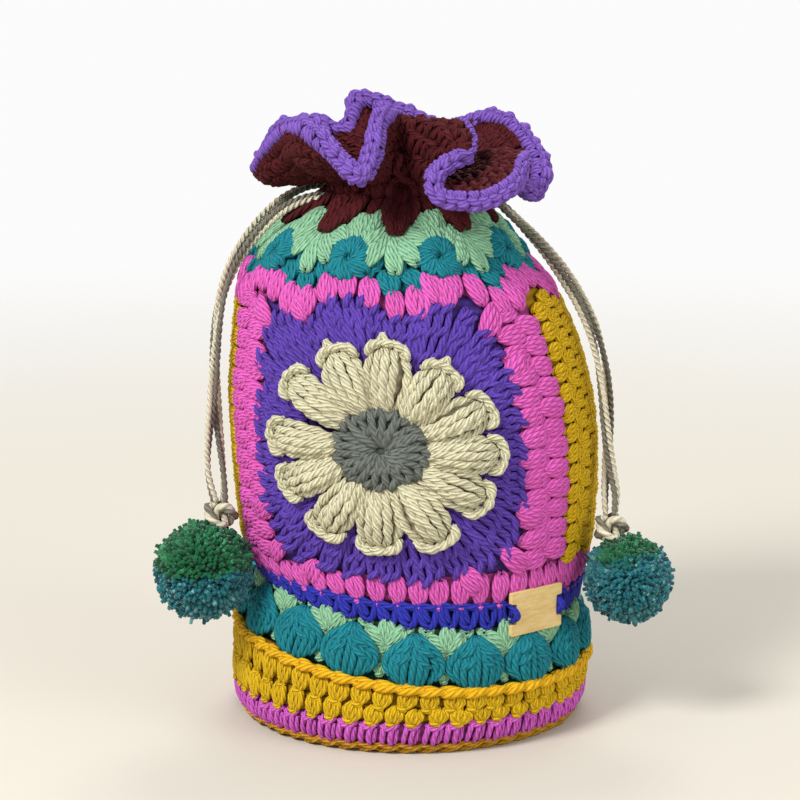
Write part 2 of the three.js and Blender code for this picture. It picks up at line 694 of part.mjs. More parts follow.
// A wooden label with a notch at each end, tied flat to the navy round
function tag() {
  const level = (RISE.navy + RISE.lowerPink) / 2 + TAG_ABOVE_MIDDLE;
  const angle = radians(TAG_ANGLE);
  const step = radians(3);
  const across = wall(angle + step, level, 0).sub(wall(angle - step, level, 0)).normalize();
  const up = new THREE.Vector3(0, 0, 1);
  const out = across.clone().cross(up).normalize();
  up.copy(out).cross(across);
  const seat = wall(angle, level, 2 * GAP);
  const [w, h, n, k] = [TAG_WIDTH / 2, TAG_HEIGHT / 2, TAG_NOTCH_DEPTH, TAG_NOTCH_HEIGHT / 2];
  const outline = new THREE.Shape(
    [
      [-w, -h],
      [w, -h],
      [w, -k],
      [w - n, -k],
      [w - n, k],
      [w, k],
      [w, h],
      [-w, h],
      [-w, k],
      [-w + n, k],
      [-w + n, -k],
      [-w, -k],
    ].map(([x, y]) => new THREE.Vector2(x, y)),
  );
  const plate = new THREE.ExtrudeGeometry(outline, { depth: TAG_THICKNESS, bevelEnabled: false });
  const placed = new THREE.Matrix4().makeBasis(across, up, out).setPosition(seat);
  const onTag = (x, y, z) => new THREE.Vector3(x, y, z).applyMatrix4(placed);
  add("wood_tag", bend(plate, onTag), WOOD);
  for (const [name, side] of [
    ["tag_tie_left", -1],
    ["tag_tie_right", 1],
  ]) {
    const x = side * (w - n + GAP + TAG_TIE_RADIUS);
    const reach = k - GAP - TAG_TIE_RADIUS;
    const arch = TAG_TIE_ARCH.map(([share, lift]) => onTag(x, share * reach, lift * TAG_THICKNESS));
    const section = new THREE.Shape().absarc(0, 0, TAG_TIE_RADIUS, 0, 2 * Math.PI);
    const tie = new THREE.ExtrudeGeometry(section, {
      extrudePath: new THREE.CatmullRomCurve3(arch),
      steps: 6,
      curveSegments: 3,
      bevelEnabled: false,
    });
    add(name, bend(tie, (px, py, pz) => new THREE.Vector3(px, py, pz)), NAVY);
  }
}

base();
puffsAndLeaves();
body();
neckAndCollar();
cordInNeck("cord_left_in_neck", 0, CORD_LEFT_EXITS);
cordInNeck("cord_right_in_neck", 1, CORD_RIGHT_EXITS);
hangingCord("cord_left_front", CORD_LEFT_FRONT);
hangingCord("cord_left_back", CORD_LEFT_BACK);
hangingCord("cord_right_front", CORD_RIGHT_FRONT);
hangingCord("cord_right_back", CORD_RIGHT_BACK);
knot("knot_left", KNOT_LEFT);
knot("knot_right", KNOT_RIGHT);
pompom("pompom_left", POMPOM_LEFT, POMPOM_LEFT_RADIUS);
pompom("pompom_right", POMPOM_RIGHT, POMPOM_RIGHT_RADIUS);
tag();

export default model;
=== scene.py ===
# The crocheted drawstring pouch, worked strand by strand over its solids.
# Lengths are millimetres until a mesh is made, then metres. Places on the wall are an angle round
# the pouch (0 in front, positive to the right), a level up the wall and a depth: 0 on the
# stitches' outer face, negative into the wall.

import bmesh
import bpy
import numpy as np
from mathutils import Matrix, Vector


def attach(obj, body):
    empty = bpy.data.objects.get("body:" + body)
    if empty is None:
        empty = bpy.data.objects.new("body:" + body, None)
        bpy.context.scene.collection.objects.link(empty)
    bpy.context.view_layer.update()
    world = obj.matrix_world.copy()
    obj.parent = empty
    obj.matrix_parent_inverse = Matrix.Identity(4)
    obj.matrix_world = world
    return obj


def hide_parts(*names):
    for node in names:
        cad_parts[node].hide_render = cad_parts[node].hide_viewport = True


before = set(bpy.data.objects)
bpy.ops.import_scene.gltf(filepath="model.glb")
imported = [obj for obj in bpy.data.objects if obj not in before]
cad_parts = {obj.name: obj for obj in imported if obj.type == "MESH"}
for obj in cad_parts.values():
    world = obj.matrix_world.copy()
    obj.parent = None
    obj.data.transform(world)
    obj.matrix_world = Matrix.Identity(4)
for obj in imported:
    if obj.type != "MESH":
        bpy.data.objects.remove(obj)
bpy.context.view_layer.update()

MM = 0.001
MERGE = 2e-6
TURN = 2 * np.pi

HALF_WIDTH = 66
HALF_DEPTH = 65.3

# Levels where the rounds begin, from the base up
LEVELS = {
    "base": 0,
    "orchid": 3.6,
    "mustard_lower": 12.4,
    "mustard_upper": 18.1,
    "ridge": 23.8,
    "puffs": 26.4,
    "mint": 43.6,
    "navy": 46.2,
    "lower_pink": 54.2,
    "square": 64.6,
    "upper_pink": 160.2,
    "teal": 172.4,
    "top_mint": 179.8,
    "neck": 190.3,
    "collar": 201.3,
}
SQUARE_HEIGHT = LEVELS["upper_pink"] - LEVELS["square"]
NECK_HEIGHT = LEVELS["collar"] - LEVELS["neck"]
WALL = 6
CORE = -2.2  # depth at which the stitches' backing starts

STITCHES = 52  # round the body
PUFFS = 17
PUFF_WIDTH = 20.6
PUFF_STANDS_OUT = 6.2
PUFF_FIRST = np.radians(-1)
LEAF_DROP = 6
SQUARE_MIDDLE = -9.5
SQUARE_ANGLE = 91
BORDER_ANGLE = 19
BORDER_ROWS = 13
BORDER_RADIUS = 64  # of the wall beside the squares
PETAL_LENGTH = 22.4
FLOWER_CENTRE_RADIUS = 15
FLOWER_LEVEL = (LEVELS["square"] + LEVELS["upper_pink"]) / 2 - 1.4
PLEATS = 9
PLEAT_FIRST = np.radians(-17)
WAVE = 3
SIDE_RISE = 10
PLEAT_DEPTH = 7
NECK_SHARE = 0.3
NECK_OVERLAP = 4  # how far the neck's stitches reach down over the mint round
COLLAR_REACH = 40  # from the base of the collar to its edge
EDGING_RADIUS = 2.6
EDGING_LOOPS = 104
GAP = 0.3
CORD_DIAMETER = 3.4
CORD_RING_INSET = 8
CORD_RING_LEVEL = LEVELS["neck"] + 0.38 * NECK_HEIGHT
TAG_ANGLE = np.radians(42.5)
TAG_SIZE = (25, 16, 1.6)
TAG_NOTCH = (2.6, 7.6)

# The wall's reach to the left, to the right and to front and back, by level
REACH = np.array([
    [LEVELS["base"], 0.924, 0.924, 0.911],
    [LEVELS["orchid"], 0.985, 0.985, 0.965],
    [LEVELS["mustard_lower"], 1, 1, 1],
    [LEVELS["ridge"], 0.977, 1, 0.988],
    [LEVELS["puffs"] + 8.6, 0.871, 0.939, 0.926],
    [LEVELS["navy"], 0.856, 0.947, 0.904],
    [LEVELS["square"], 0.939, 1.023, 0.896],
    [LEVELS["square"] + 0.2 * SQUARE_HEIGHT, 0.977, 1.045, 0.904],
    [LEVELS["square"] + 0.43 * SQUARE_HEIGHT, 1, 1.045, 0.896],
    [LEVELS["square"] + 0.63 * SQUARE_HEIGHT, 1.008, 1, 0.873],
    [LEVELS["square"] + 0.84 * SQUARE_HEIGHT, 0.985, 0.909, 0.819],
    [LEVELS["upper_pink"] + 0.61, 0.955, 0.788, 0.766],
    [LEVELS["teal"], 0.869, 0.629, 0.669],
    [LEVELS["top_mint"], 0.777, 0.547, 0.599],
    [LEVELS["neck"], 0.545, 0.41, 0.46],
    [LEVELS["neck"] + 0.4 * NECK_HEIGHT, 0.482, 0.36, 0.411],
    [LEVELS["collar"], 0.47, 0.333, 0.398],
]) * [1, HALF_WIDTH, HALF_WIDTH, HALF_DEPTH]
SKEW = np.array([
    [LEVELS["base"], 0],
    [LEVELS["mustard_lower"], 0.1],
    [LEVELS["ridge"], 1],
    [LEVELS["mint"], 1],
    [LEVELS["lower_pink"] - 4, 0.7],
    [LEVELS["lower_pink"] + 5.2, 0.3],
    [LEVELS["square"] + 0.1 * SQUARE_HEIGHT, 0],
    [LEVELS["collar"], 0],
]) * [1, SIDE_RISE]
GATHER = np.array([
    [LEVELS["base"], 0],
    [LEVELS["upper_pink"] - 0.1 * SQUARE_HEIGHT, 0],
    [LEVELS["teal"], 0.17],
    [LEVELS["top_mint"], 0.43],
    [LEVELS["neck"], 0.86],
    [LEVELS["neck"] + 0.4 * NECK_HEIGHT, 1],
    [LEVELS["collar"], 1],
]) * [1, PLEAT_DEPTH]

# The collar's edge: angle at the neck, the edge's place over the neck's top, how far the cloth
# swells out on its way there, and how far it rises
COLLAR = np.array([
    [-112, -52, 9, 3, 12, -6],
    [-100, -54.5, 1, 1, 16, -8],
    [-88, -51.5, -7, 8, 18, -8],
    [-74, -46, -15, 16, 18, -6],
    [-60, -38.5, -24, 18.5, 16, -3],
    [-46, -30.5, -34, 15, 13, 0],
    [-34, -23, -44, 8.5, 9, 2],
    [-24, -17.5, -48, 4.5, 5, 2],
    [-16, -13, -41, 12, 3, 2],
    [-8, -11, -28, 21, 2, 2],
    [0, -6, -12, 21, 6, 12],
    [8, 5, -9, 14, 17, 26],
    [18, 18, -21, 18.5, 17, 16],
    [28, 19.5, -33, 11.5, 14, 7],
    [38, 9, -45, 5, 8, 3],
    [46, 9.5, -51, -1.5, 4, 2],
    [56, 24.5, -50, -3.5, 7, 4],
    [66, 36.5, -42, 2, 10, 8],
    [76, 39.5, -31, 8, 12, 9],
    [86, 36.5, -18, 3, 8, 5],
    [96, 43.5, -10, -6, 9, 0],
    [106, 47.5, -1, 1, 10, -2],
    [118, 42, 11, 9.5, 10, 2],
    [134, 35, 21, 15.5, 11, 4],
    [150, 26, 27, 17, 5, 3],
    [164, 13, 22, 11.5, 3, 2],
    [178, -3, 30, 17.5, 8, 3],
    [192, -19, 31, 22.5, 9, 3],
    [206, -23, 24, 12, 4, 2],
    [220, -33.5, 26, 14.5, 9, 3],
    [234, -42, 20, 12.5, 9, 3],
], dtype=float)

# Each free cord's way down from the neck to its knot
CORD_ROUTES = {
    "cord_left_front": [
        (-25.9, -4.8, 192.6), (-33, -8, 193.5), (-39, -9, 192.3), (-46, -10, 188.8),
        (-54, -11.5, 181.5), (-61.5, -13, 171.5), (-66.5, -14.5, 160.5), (-69, -16, 149),
        (-70.3, -17, 138), (-71.2, -18, 127.5), (-72, -19, 118), (-73, -20, 109),
        (-73.6, -21.5, 100), (-73, -23, 92), (-70.6, -25.4, 83),
    ],
    "cord_left_back": [
        (-23.9, 9.2, 192.6), (-30, 11.5, 194.8), (-37.5, 11, 194.6), (-46.5, 7, 190.5),
        (-54.5, 3, 183.5), (-62, -1, 174), (-67.6, -4, 163), (-70.6, -6.5, 151.5),
        (-71.4, -9, 140), (-71.2, -11.5, 129), (-70.6, -14, 119), (-69.8, -16.5, 110),
        (-68.8, -19, 101), (-67.8, -21.8, 92), (-67.6, -24.8, 82.6),
    ],
    "cord_right_front": [
        (18, -2.2, 196.4), (22.5, -3, 197.6), (28.5, -4.5, 194), (35, -6, 187.8),
        (41.5, -8, 181), (48.5, -10, 173.5), (55.5, -12, 164), (61.5, -13.5, 154),
        (65.5, -15, 144), (68, -16.5, 134), (69.6, -17.7, 124), (70.8, -19, 114),
        (72, -20.5, 104), (73.4, -22, 95), (74.8, -24, 87), (74.4, -25.6, 78.4),
    ],
    "cord_right_back": [
        (13.5, 12.5, 193.7), (19, 14, 194.5), (26, 14, 193), (33.5, 12.5, 188),
        (41.5, 9, 181.5), (49, 5, 174), (56.5, 1, 165), (63, -3, 155),
        (68, -6, 145), (71, -9, 134), (72.3, -11.5, 124), (72.6, -14, 114),
        (72.2, -16.5, 104), (71.6, -19, 95), (71, -22, 87), (71.2, -24.8, 78.2),
    ],
}
KNOTS = {"knot_left": (-69.2, -26, 79.4), "knot_right": (72.9, -26, 74.6)}
# Centre, radius, how far over the centre the green starts in shares of the radius, seed
POMPOMS = {
    "pompom_left": ((-74.9, -31.3, 60), 18, 0.02, 121),
    "pompom_right": ((79.4, -30.4, 56.6), 16, 0.62, 122),
}


# Helpers

def new_object(name, data):
    made = bpy.data.objects.new(name, data)
    bpy.context.collection.objects.link(made)
    return made


def as_mesh(bm, name="core"):
    mesh = bpy.data.meshes.new(name)
    bm.to_mesh(mesh)
    bm.free()
    return mesh


def extruded(bm, faces, height):
    made = bmesh.ops.extrude_face_region(bm, geom=faces)
    raised = [v for v in made["geom"] if isinstance(v, bmesh.types.BMVert)]
    bmesh.ops.translate(bm, verts=raised, vec=(0, 0, height))


def aim_at(thing, target):
    aim = Vector(target) - thing.location
    thing.rotation_euler = aim.to_track_quat("-Z", "Y").to_euler()


def lerp(a, b, t):
    return a + (b - a) * t


def arch(t):
    """0 where t is 0 or 1, and 1 midway."""
    return np.sin(np.pi * t)


def xyz(x, y, z):
    return np.stack([x, y, z], axis=-1)


def spread(*values):
    """Values as float arrays of one shape."""
    return np.broadcast_arrays(*(np.asarray(value, dtype=float) for value in values))


def run_of(line):
    """How far along a line each of its points lies."""
    return np.concatenate([[0], np.cumsum(np.linalg.norm(np.diff(line, axis=0), axis=1))])


def clockwise(reach, turn):
    """A reach at a turn clockwise from straight up, as right and up."""
    return reach * np.sin(turn), reach * np.cos(turn)


def turned(ahead, across, turn):
    """Ahead and across at a turn clockwise from straight up, as right and up."""
    s, c = np.sin(turn), np.cos(turn)
    return ahead * s + across * c, ahead * c - across * s


# Camera

def place_camera():
    camera_data = bpy.data.cameras.new("camera")
    camera = new_object("camera", camera_data)
    camera.location = (0, -1.0, 0.33)
    aim_at(camera, (0, 0, 0.1165))
    camera_data.sensor_width = 36
    camera_data.lens = 124.4
    camera_data.shift_x = -0.0125
    bpy.context.scene.camera = camera


place_camera()


# The pouch's shape

def along(rows, column, level):
    """A smooth curve through rows [level, value, value...], column by column."""
    levels = rows[:, 0]
    values = rows[:, column]
    last = len(rows) - 1
    level = np.asarray(level, dtype=float)
    i = np.clip(np.searchsorted(levels, level, side="left") - 1, 0, last - 1)
    before = np.maximum(np.arange(last + 1) - 1, 0)
    after = np.minimum(np.arange(last + 1) + 1, last)
    slope = (values[after] - values[before]) / (levels[after] - levels[before])
    run = levels[i + 1] - levels[i]
    t = np.clip((level - levels[i]) / run, 0, 1)
    value = values[i] + (values[i + 1] - values[i]) * t * t * (3 - 2 * t)
    return value + t * (1 - t) * ((1 - t) * slope[i] - t * slope[i + 1]) * run


def taper_at(level):
    """How far the wall draws in for each millimetre up."""
    return (along(REACH, 3, level - 2) - along(REACH, 3, level + 2)) / 4


def pleat_at(angle):
    """1 where a pleat stands out, -1 in the fold between two."""
    return np.cos(PLEATS * (angle - PLEAT_FIRST))


def pink_foot(angle):
    """Where the upper pink round starts, over each pleat and each fold."""
    return LEVELS["upper_pink"] + 1 + 4 * pleat_at(angle)


def pink_top(angle):
    return pink_foot(angle) + 7.2


def unit(vectors):
    return vectors / np.linalg.norm(vectors, axis=-1, keepdims=True)


def wall(angle, level, depth):
    """The points of the wall at angles, levels and depths."""
    angle, level, depth = spread(angle, level, depth)
    left, right, front = (along(REACH, column, level) for column in (1, 2, 3))
    tip = np.arctan(np.clip(taper_at(level), -0.3, 1.2))
    s, c = np.sin(angle), np.cos(angle)
    half = (left + right) / 2
    outward = unit(xyz(s / half, -c / front, 0 * s))
    out = outward * np.cos(tip)[..., None]
    out[..., 2] = np.sin(tip)
    skew = along(SKEW, 1, level) * (0.35 * s * s - 0.65 * s)
    fold = along(GATHER, 1, level) * (1 - pleat_at(angle))
    place = xyz((right - left) / 2 + half * s, -front * c, level + skew)
    return place + out * depth[..., None] - outward * fold[..., None]


def smooth_line(points, t, closed=False):
    """Places at t, counted in points, on a smooth line through points."""
    points = np.asarray(points, dtype=float)
    count = len(points)
    if closed:
        padded = np.vstack([points[-1], points, points[0], points[1]])
    else:
        padded = np.vstack([2 * points[0] - points[1], points, 2 * points[-1] - points[-2]])
    i = np.clip(np.floor(t).astype(int), 0, count - (1 if closed else 2))
    w = (t - i)[..., None]
    p0, p1, p2, p3 = (padded[i + k] for k in range(4))
    d0, d1, d2 = (
        np.sqrt(np.maximum(np.linalg.norm(b - a, axis=-1, keepdims=True), 1e-9))
        for a, b in ((p0, p1), (p1, p2), (p2, p3))
    )
    t1 = ((p1 - p0) / d0 - (p2 - p0) / (d0 + d1) + (p2 - p1) / d1) * d1
    t2 = ((p2 - p1) / d1 - (p3 - p1) / (d1 + d2) + (p3 - p2) / d2) * d1
    return (
        p1
        + w * t1
        + w**2 * (-3 * p1 + 3 * p2 - 2 * t1 - t2)
        + w**3 * (2 * p1 - 2 * p2 + t1 + t2)
    )


def neck(angle, share, depth):
    bottom = LEVELS["neck"] + GAP / 2 + WAVE * pleat_at(angle)
    level = bottom + (LEVELS["collar"] - bottom) * share / NECK_SHARE
    return wall(angle, level, depth)


def collar_middle(angle, share):
    """The middle of the collar's fabric, from the neck (share 0) to its edge (share 1)."""
    turned_by = np.mod(np.degrees(angle) - COLLAR[0, 0], 360)
    starts = np.append(COLLAR[:, 0] - COLLAR[0, 0], 360)
    i = np.clip(np.searchsorted(starts, turned_by, side="right") - 1, 0, len(COLLAR) - 1)
    t = (turned_by - starts[i]) / (starts[i + 1] - starts[i])
    edge = smooth_line(COLLAR[:, 1:4] + [0, 0, LEVELS["collar"]], i + t, closed=True)
    rows = np.vstack([COLLAR, COLLAR[0]])
    swell, rise = (lerp(rows[i, k], rows[i + 1, k], t) for k in (4, 5))
    start = wall(angle, LEVELS["collar"], -WALL / 2)
    belly = lerp(start, edge, 0.45) + xyz(np.sin(angle) * swell, -np.cos(angle) * swell, rise)
    w = ((share - NECK_SHARE) / (1 - NECK_SHARE))[..., None]
    free = start * (1 - w) ** 2 + belly * 2 * w * (1 - w) + edge * w**2
    return np.where((share <= NECK_SHARE)[..., None], neck(angle, share, -WALL / 2), free)


def collar_frame(angle, share):
    """Along the fabric towards the edge, and out of it."""
    step = 0.02
    low, high = np.maximum(share - step, 0), np.minimum(share + step, 1)
    ahead = collar_middle(angle, high) - collar_middle(angle, low)
    across = collar_middle(angle + step, share) - collar_middle(angle - step, share)
    return unit(ahead), unit(np.cross(across, ahead))


def collar_cloth(angle, share, side):
    """Places on either side of the collar's middle, and a little past its edge."""
    angle, share, side = spread(angle, share, side)
    on_neck = neck(angle, share, side - WALL / 2)
    within = np.minimum(share, 1)
    ahead, out = collar_frame(angle, within)
    past = np.maximum(share - 1, 0) * COLLAR_REACH
    free = collar_middle(angle, within) + out * side[..., None] + ahead * past[..., None]
    soft = 0.03
    blend = np.clip((share - NECK_SHARE + soft) / (2 * soft), 0, 1)[..., None]
    return on_neck * (1 - blend) + free * blend


def collar_rim(angle, ahead, side):
    """Round the edge of the collar: ahead of its cloth, and out of its face."""
    angle, ahead, side = spread(angle, ahead, side)
    one = np.ones_like(angle)
    forward, out = collar_frame(angle, one)
    ahead = ahead + 0.5 * EDGING_RADIUS
    return collar_middle(angle, one) + forward * ahead[..., None] + out * side[..., None]


# Yarns and other finishes

def linear(code):
    """A colour written as six hex digits, as the shader wants it."""
    parts = [int(code[i : i + 2], 16) / 255 for i in (0, 2, 4)]
    return [(p / 12.92 if p <= 0.04045 else ((p + 0.055) / 1.055) ** 2.4) for p in parts] + [1]


class Nodes:
    """A material's nodes, added one after another."""

    def __init__(self, name):
        self.material = bpy.data.materials.new(name)
        self.material.use_nodes = True
        self.tree = self.material.node_tree
        self.shader = self.tree.nodes["Principled BSDF"]

    def add(self, kind, settings=None, **inputs):
        """Adds a node. An input is given by its name, or by i and its number."""
        node = self.tree.nodes.new("ShaderNode" + kind)
        for key, value in (settings or {}).items():
            setattr(node, key, value)
        for key, value in inputs.items():
            socket = node.inputs[int(key[1:])] if key[1:].isdigit() else node.inputs[key]
            self.set(socket, value)
        return node

    def set(self, socket, value):
        if isinstance(value, bpy.types.NodeSocket):
            self.tree.links.new(value, socket)
        else:
            socket.default_value = value

    def math(self, operation, *values):
        node = self.add("Math", {"operation": operation})
        for socket, value in zip(node.inputs, values):
            self.set(socket, value)
        return node.outputs[0]

    def mix(self, factor, first, second):
        return self.add("Mix", {"data_type": "RGBA"}, i0=factor, i6=first, i7=second).outputs[2]

    def ramp(self, factor, *stops):
        """Colours, each written as six hex digits, at their places between 0 and 1."""
        node = self.add("ValToRGB", i0=factor)
        elements = node.color_ramp.elements
        while len(elements) < len(stops):
            elements.new(0.5)
        for element, (position, code) in zip(elements, stops):
            element.position = position
            element.color = linear(code)
        return node.outputs[0]

    def position(self):
        return self.add("TexCoord").outputs["Object"]

    def tone(self):
        """A number of each strand's own, between 0 and 1."""
        return self.add("Attribute", {"attribute_name": "tone"}).outputs["Fac"]

    def noise(self, scale, detail=2.0):
        return self.add("TexNoise", Vector=self.position(), Scale=scale, Detail=detail).outputs[0]

    def finish(self, colour, height, bump, distance, sheen, roughness=0.85):
        relief = self.add("Bump", Strength=bump, Distance=distance, Height=height)
        values = {
            "Base Color": colour,
            "Normal": relief.outputs[0],
            "Roughness": roughness,
            "Sheen Weight": sheen,
            "Sheen Roughness": 0.4,
            "Specular IOR Level": 0.25,
        }
        for key, value in values.items():
            self.set(self.shader.inputs[key], value)
        return self.material


def shade(colour, factor):
    return [min(1, c * factor) for c in colour[:3]] + [1]


PLY_PITCH = 3.0
PALE = 1.6  # of fuzz and of lighter strands, times the yarn's colour
# Painted shade in the grooves between the plies, times the yarn's colour
GROOVE_SHADE = 0.45
# Painted shade of the backing deep between the stitches, times the yarn's colour
BACKING_SHADE = 0.36


def yarn(name, code, plies=4):
    """Twisted yarn: plies wound round each strand, painted shade in the grooves between them and a soft
    fuzz.
    """
    n = Nodes(name)
    base = linear(code)
    pale = shade(base, PALE)
    uv = n.add("UVMap", {"uv_map": "UVMap"}).outputs[0]
    run, around, _ = n.add("SeparateXYZ", Vector=uv).outputs
    wound = n.math("MULTIPLY_ADD", around, plies, n.math("DIVIDE", run, PLY_PITCH))
    saw = n.math("PINGPONG", wound, 0.5)
    ply = n.math("SMOOTH_MIN", n.math("MULTIPLY", saw, 2.6), 1.0, 0.35)
    fibre = n.noise(1700, 3.0)
    # Painted shade: the yarn's colour darkened in the grooves between the plies
    groove_shaded = n.mix(ply, shade(base, GROOVE_SHADE), base)
    worn = n.mix(n.math("MULTIPLY", fibre, 0.6), groove_shaded, pale)
    toned = n.mix(n.math("MULTIPLY", n.tone(), 0.3), worn, pale)
    shaded = n.mix(n.math("MULTIPLY", n.noise(150), 0.5), toned, shade(base, 0.5))
    height = n.math("MULTIPLY_ADD", fibre, 0.45, ply)
    n.set(n.shader.inputs["Sheen Tint"], shade(base, 2.0))
    return n.finish(shaded, height, 0.9, 0.0007, sheen=0.2)


def backing(name, code):
    """Painted shade: the yarn's colour darkened, for the yarn deep between the stitches and for the pouch's
    plain inside.
    """
    n = Nodes(name)
    base = linear(code)
    bands = {"wave_type": "BANDS", "bands_direction": "Z"}
    rows = n.add("TexWave", bands, Vector=n.position(), Scale=75.0, Distortion=2.0)
    height = n.math("MULTIPLY_ADD", n.noise(900), 0.5, rows.outputs[1])
    # Painted shade: the yarn's colour darkened, in bands
    colour = n.mix(height, shade(base, BACKING_SHADE * 0.7), shade(base, BACKING_SHADE * 1.3))
    return n.finish(colour, height, 0.7, 0.001, sheen=0.0)


YARNS = {
    "mustard_yarn": "E6B014",
    "dark_mustard_yarn": "BE8A1C",
    "orchid_yarn": "DE62C8",
    "orange_yarn": "FAAE16",
    "teal_yarn": "177E8A",
    "mint_yarn": "8FC39B",
    "navy_yarn": "2E32A8",
    "hot_pink_yarn": "EE5FB8",
    "purple_yarn": "5E40A8",
    "grey_yarn": "6B7069",
    "cream_yarn": "DFD2AE",
    "burgundy_yarn": "4E1015",
    "violet_yarn": "7D57B4",
}
finishes = {}
cores = {}
for yarn_name, yarn_code in YARNS.items():
    finishes[yarn_name] = yarn(yarn_name, yarn_code)
    # Each yarn's backing is a darker copy of it: painted shade
    cores[yarn_name] = backing(yarn_name.replace("yarn", "backing"), yarn_code)
cord_cream = yarn("cord_cream", "DDCDB2", plies=2)
cord_grey = yarn("cord_grey", "7C7769", plies=2)


# Strands and pieces

def drawn(count, *points):
    """A smooth run of count places through given points (across, up, out, thickness)."""
    return smooth_line(points, np.linspace(0, len(points) - 1, count))


def mirrored(pattern):
    return [strand * [-1, 1, 1, 1] for strand in pattern]


class Work:
    """The strands of one piece. place turns fabric coordinates into millimetres on the pouch."""

    def __init__(self, place, seed):
        self.place = place
        self.random = np.random.default_rng(seed)
        self.strands = []

    def strand(self, across, up, out, thickness):
        self.strands.append(np.stack(np.broadcast_arrays(across, up, out, thickness), axis=-1))

    def trace(self, points, thickness):
        self.strand(points[:, 0], points[:, 1], points[:, 2], thickness)

    def stitch(self, pattern, at, size, out=0.0, turn=0.0, loose=0.05):
        """Works a pattern at (across, up). size is its width and height in the fabric's units."""
        draw = self.random.normal(0, loose, 6)
        width, height = size
        lean = turn + draw[0]
        upright = 0.9 if turn == 0 else 1
        for strand in pattern:
            x = strand[:, 0] * (1 + draw[1])
            y = strand[:, 1] * (1 + draw[2] * 0.5) - 0.5
            turned_x = x * np.cos(lean) + y * np.sin(lean) * upright
            turned_y = y * np.cos(lean) - x * np.sin(lean) + 0.5
            self.strand(
                at[0] + (turned_x + draw[3] * 0.5) * width,
                at[1] + (turned_y + draw[4] * 0.3) * height,
                strand[:, 2] + out + draw[5] * 2,
                strand[:, 3] * (1 + draw[1]),
            )

    def mesh(self, name, sides=1):
        """All strands as closed tubes, with a map that runs along each in millimetres."""
        curve = bpy.data.curves.new(name, "CURVE")
        curve.dimensions = "3D"
        curve.bevel_depth = MM
        curve.bevel_resolution = sides
        curve.use_fill_caps = True
        runs = []
        for strand in self.strands:
            places = self.place(strand[:, 0], strand[:, 1], strand[:, 2])
            length = np.linalg.norm(np.diff(places, axis=0), axis=1).sum()
            spline = curve.splines.new("POLY")
            spline.points.add(len(places) - 1)
            packed = np.hstack([places * MM, np.ones((len(places), 1))])
            spline.points.foreach_set("co", packed.ravel())
            spline.points.foreach_set("radius", strand[:, 3].copy())
            runs.append((len(places) - 1, length))
        holder = new_object(name, curve)
        mesh = bpy.data.meshes.new_from_object(holder)
        bpy.data.objects.remove(holder)
        bpy.data.curves.remove(curve)
        self.measure(mesh, runs, 2 * sides + 4)
        return mesh

    def measure(self, mesh, runs, around):
        """Stretches each strand's map to its length and gives each a tone of its own."""
        totals, starts = np.empty((2, len(mesh.polygons)), dtype=np.int32)
        mesh.polygons.foreach_get("loop_total", totals)
        mesh.polygons.foreach_get("loop_start", starts)
        sides = starts[totals == 4][:, None] + np.arange(4)
        segments = [segment * around for segment, _ in runs]
        lengths = np.repeat([length for _, length in runs], segments)
        tones = np.repeat(self.random.random(len(runs)), segments)
        layer = mesh.uv_layers[0].data
        uv = np.empty(len(mesh.loops) * 2, dtype=np.float32)
        layer.foreach_get("uv", uv)
        uv = uv.reshape(-1, 2)
        uv[sides, 0] *= lengths[:, None]
        layer.foreach_set("uv", uv.ravel())
        tone = np.full(len(mesh.loops), 0.5, dtype=np.float32)
        tone[sides] = tones[:, None]
        attribute = mesh.attributes.new("tone", "FLOAT", "CORNER")
        attribute.data.foreach_set("value", tone)


def add_piece(name, mesh, materials, kind="stitches"):
    """Shows a mesh as a piece that rides on the pouch and stands for its solid."""
    piece = new_object(name + "_" + kind, mesh)
    for material in materials:
        mesh.materials.append(material)
    mesh.polygons.foreach_set("use_smooth", [True] * len(mesh.polygons))
    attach(piece, "root")
    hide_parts(name)
    return piece


def join(mesh, core=None):
    """Closes the strands' ends and joins them with a second mesh, which takes the second finish."""
    bm = bmesh.new()
    bm.from_mesh(mesh)
    bmesh.ops.remove_doubles(bm, verts=bm.verts, dist=MERGE)
    if core:
        start = len(bm.faces)
        bm.from_mesh(core)
        bm.faces.ensure_lookup_table()
        for face in bm.faces[start:]:
            face.material_index = 1
    bm.to_mesh(mesh)
    bm.free()
    return mesh


def show(work, name, yarn_name, core):
    """Shows the strands of a piece over their backing."""
    mesh = join(work.mesh(name), core)
    add_piece(name, mesh, [finishes[yarn_name], cores[yarn_name]])


def fanned(work, pattern, foot, turn, reach, width, out=0.0, taper=0.0, thick=1.0, scale=(1, 1), wild=0.03):
    """Lays a pattern from its foot outwards at a turn, clockwise from straight up."""
    draw = work.random.normal(0, wild, 4)
    for strand in pattern:
        ahead = strand[:, 1] * reach * (1 + draw[1])
        across = strand[:, 0] * width * (1 - taper * (1 - strand[:, 1])) * (1 + draw[2])
        right, up = turned(ahead, across, turn + draw[0])
        work.strand(
            foot[0] + right * scale[0],
            foot[1] + up * scale[1],
            strand[:, 2] + out + 4 * draw[3],
            strand[:, 3] * thick,
        )


RING = 100.0  # radius at which a ring's profile is spun before it is laid


def core_mesh(bm, place):
    """Lays a straight backing, already shaped in the fabric's coordinates, along the fabric."""
    co = np.array([v.co for v in bm.verts])
    places = place(co[:, 0], co[:, 1], co[:, 2]) * MM
    for vertex, position in zip(bm.verts, places):
        vertex.co = position
    bmesh.ops.recalc_face_normals(bm, faces=bm.faces)
    return as_mesh(bm)


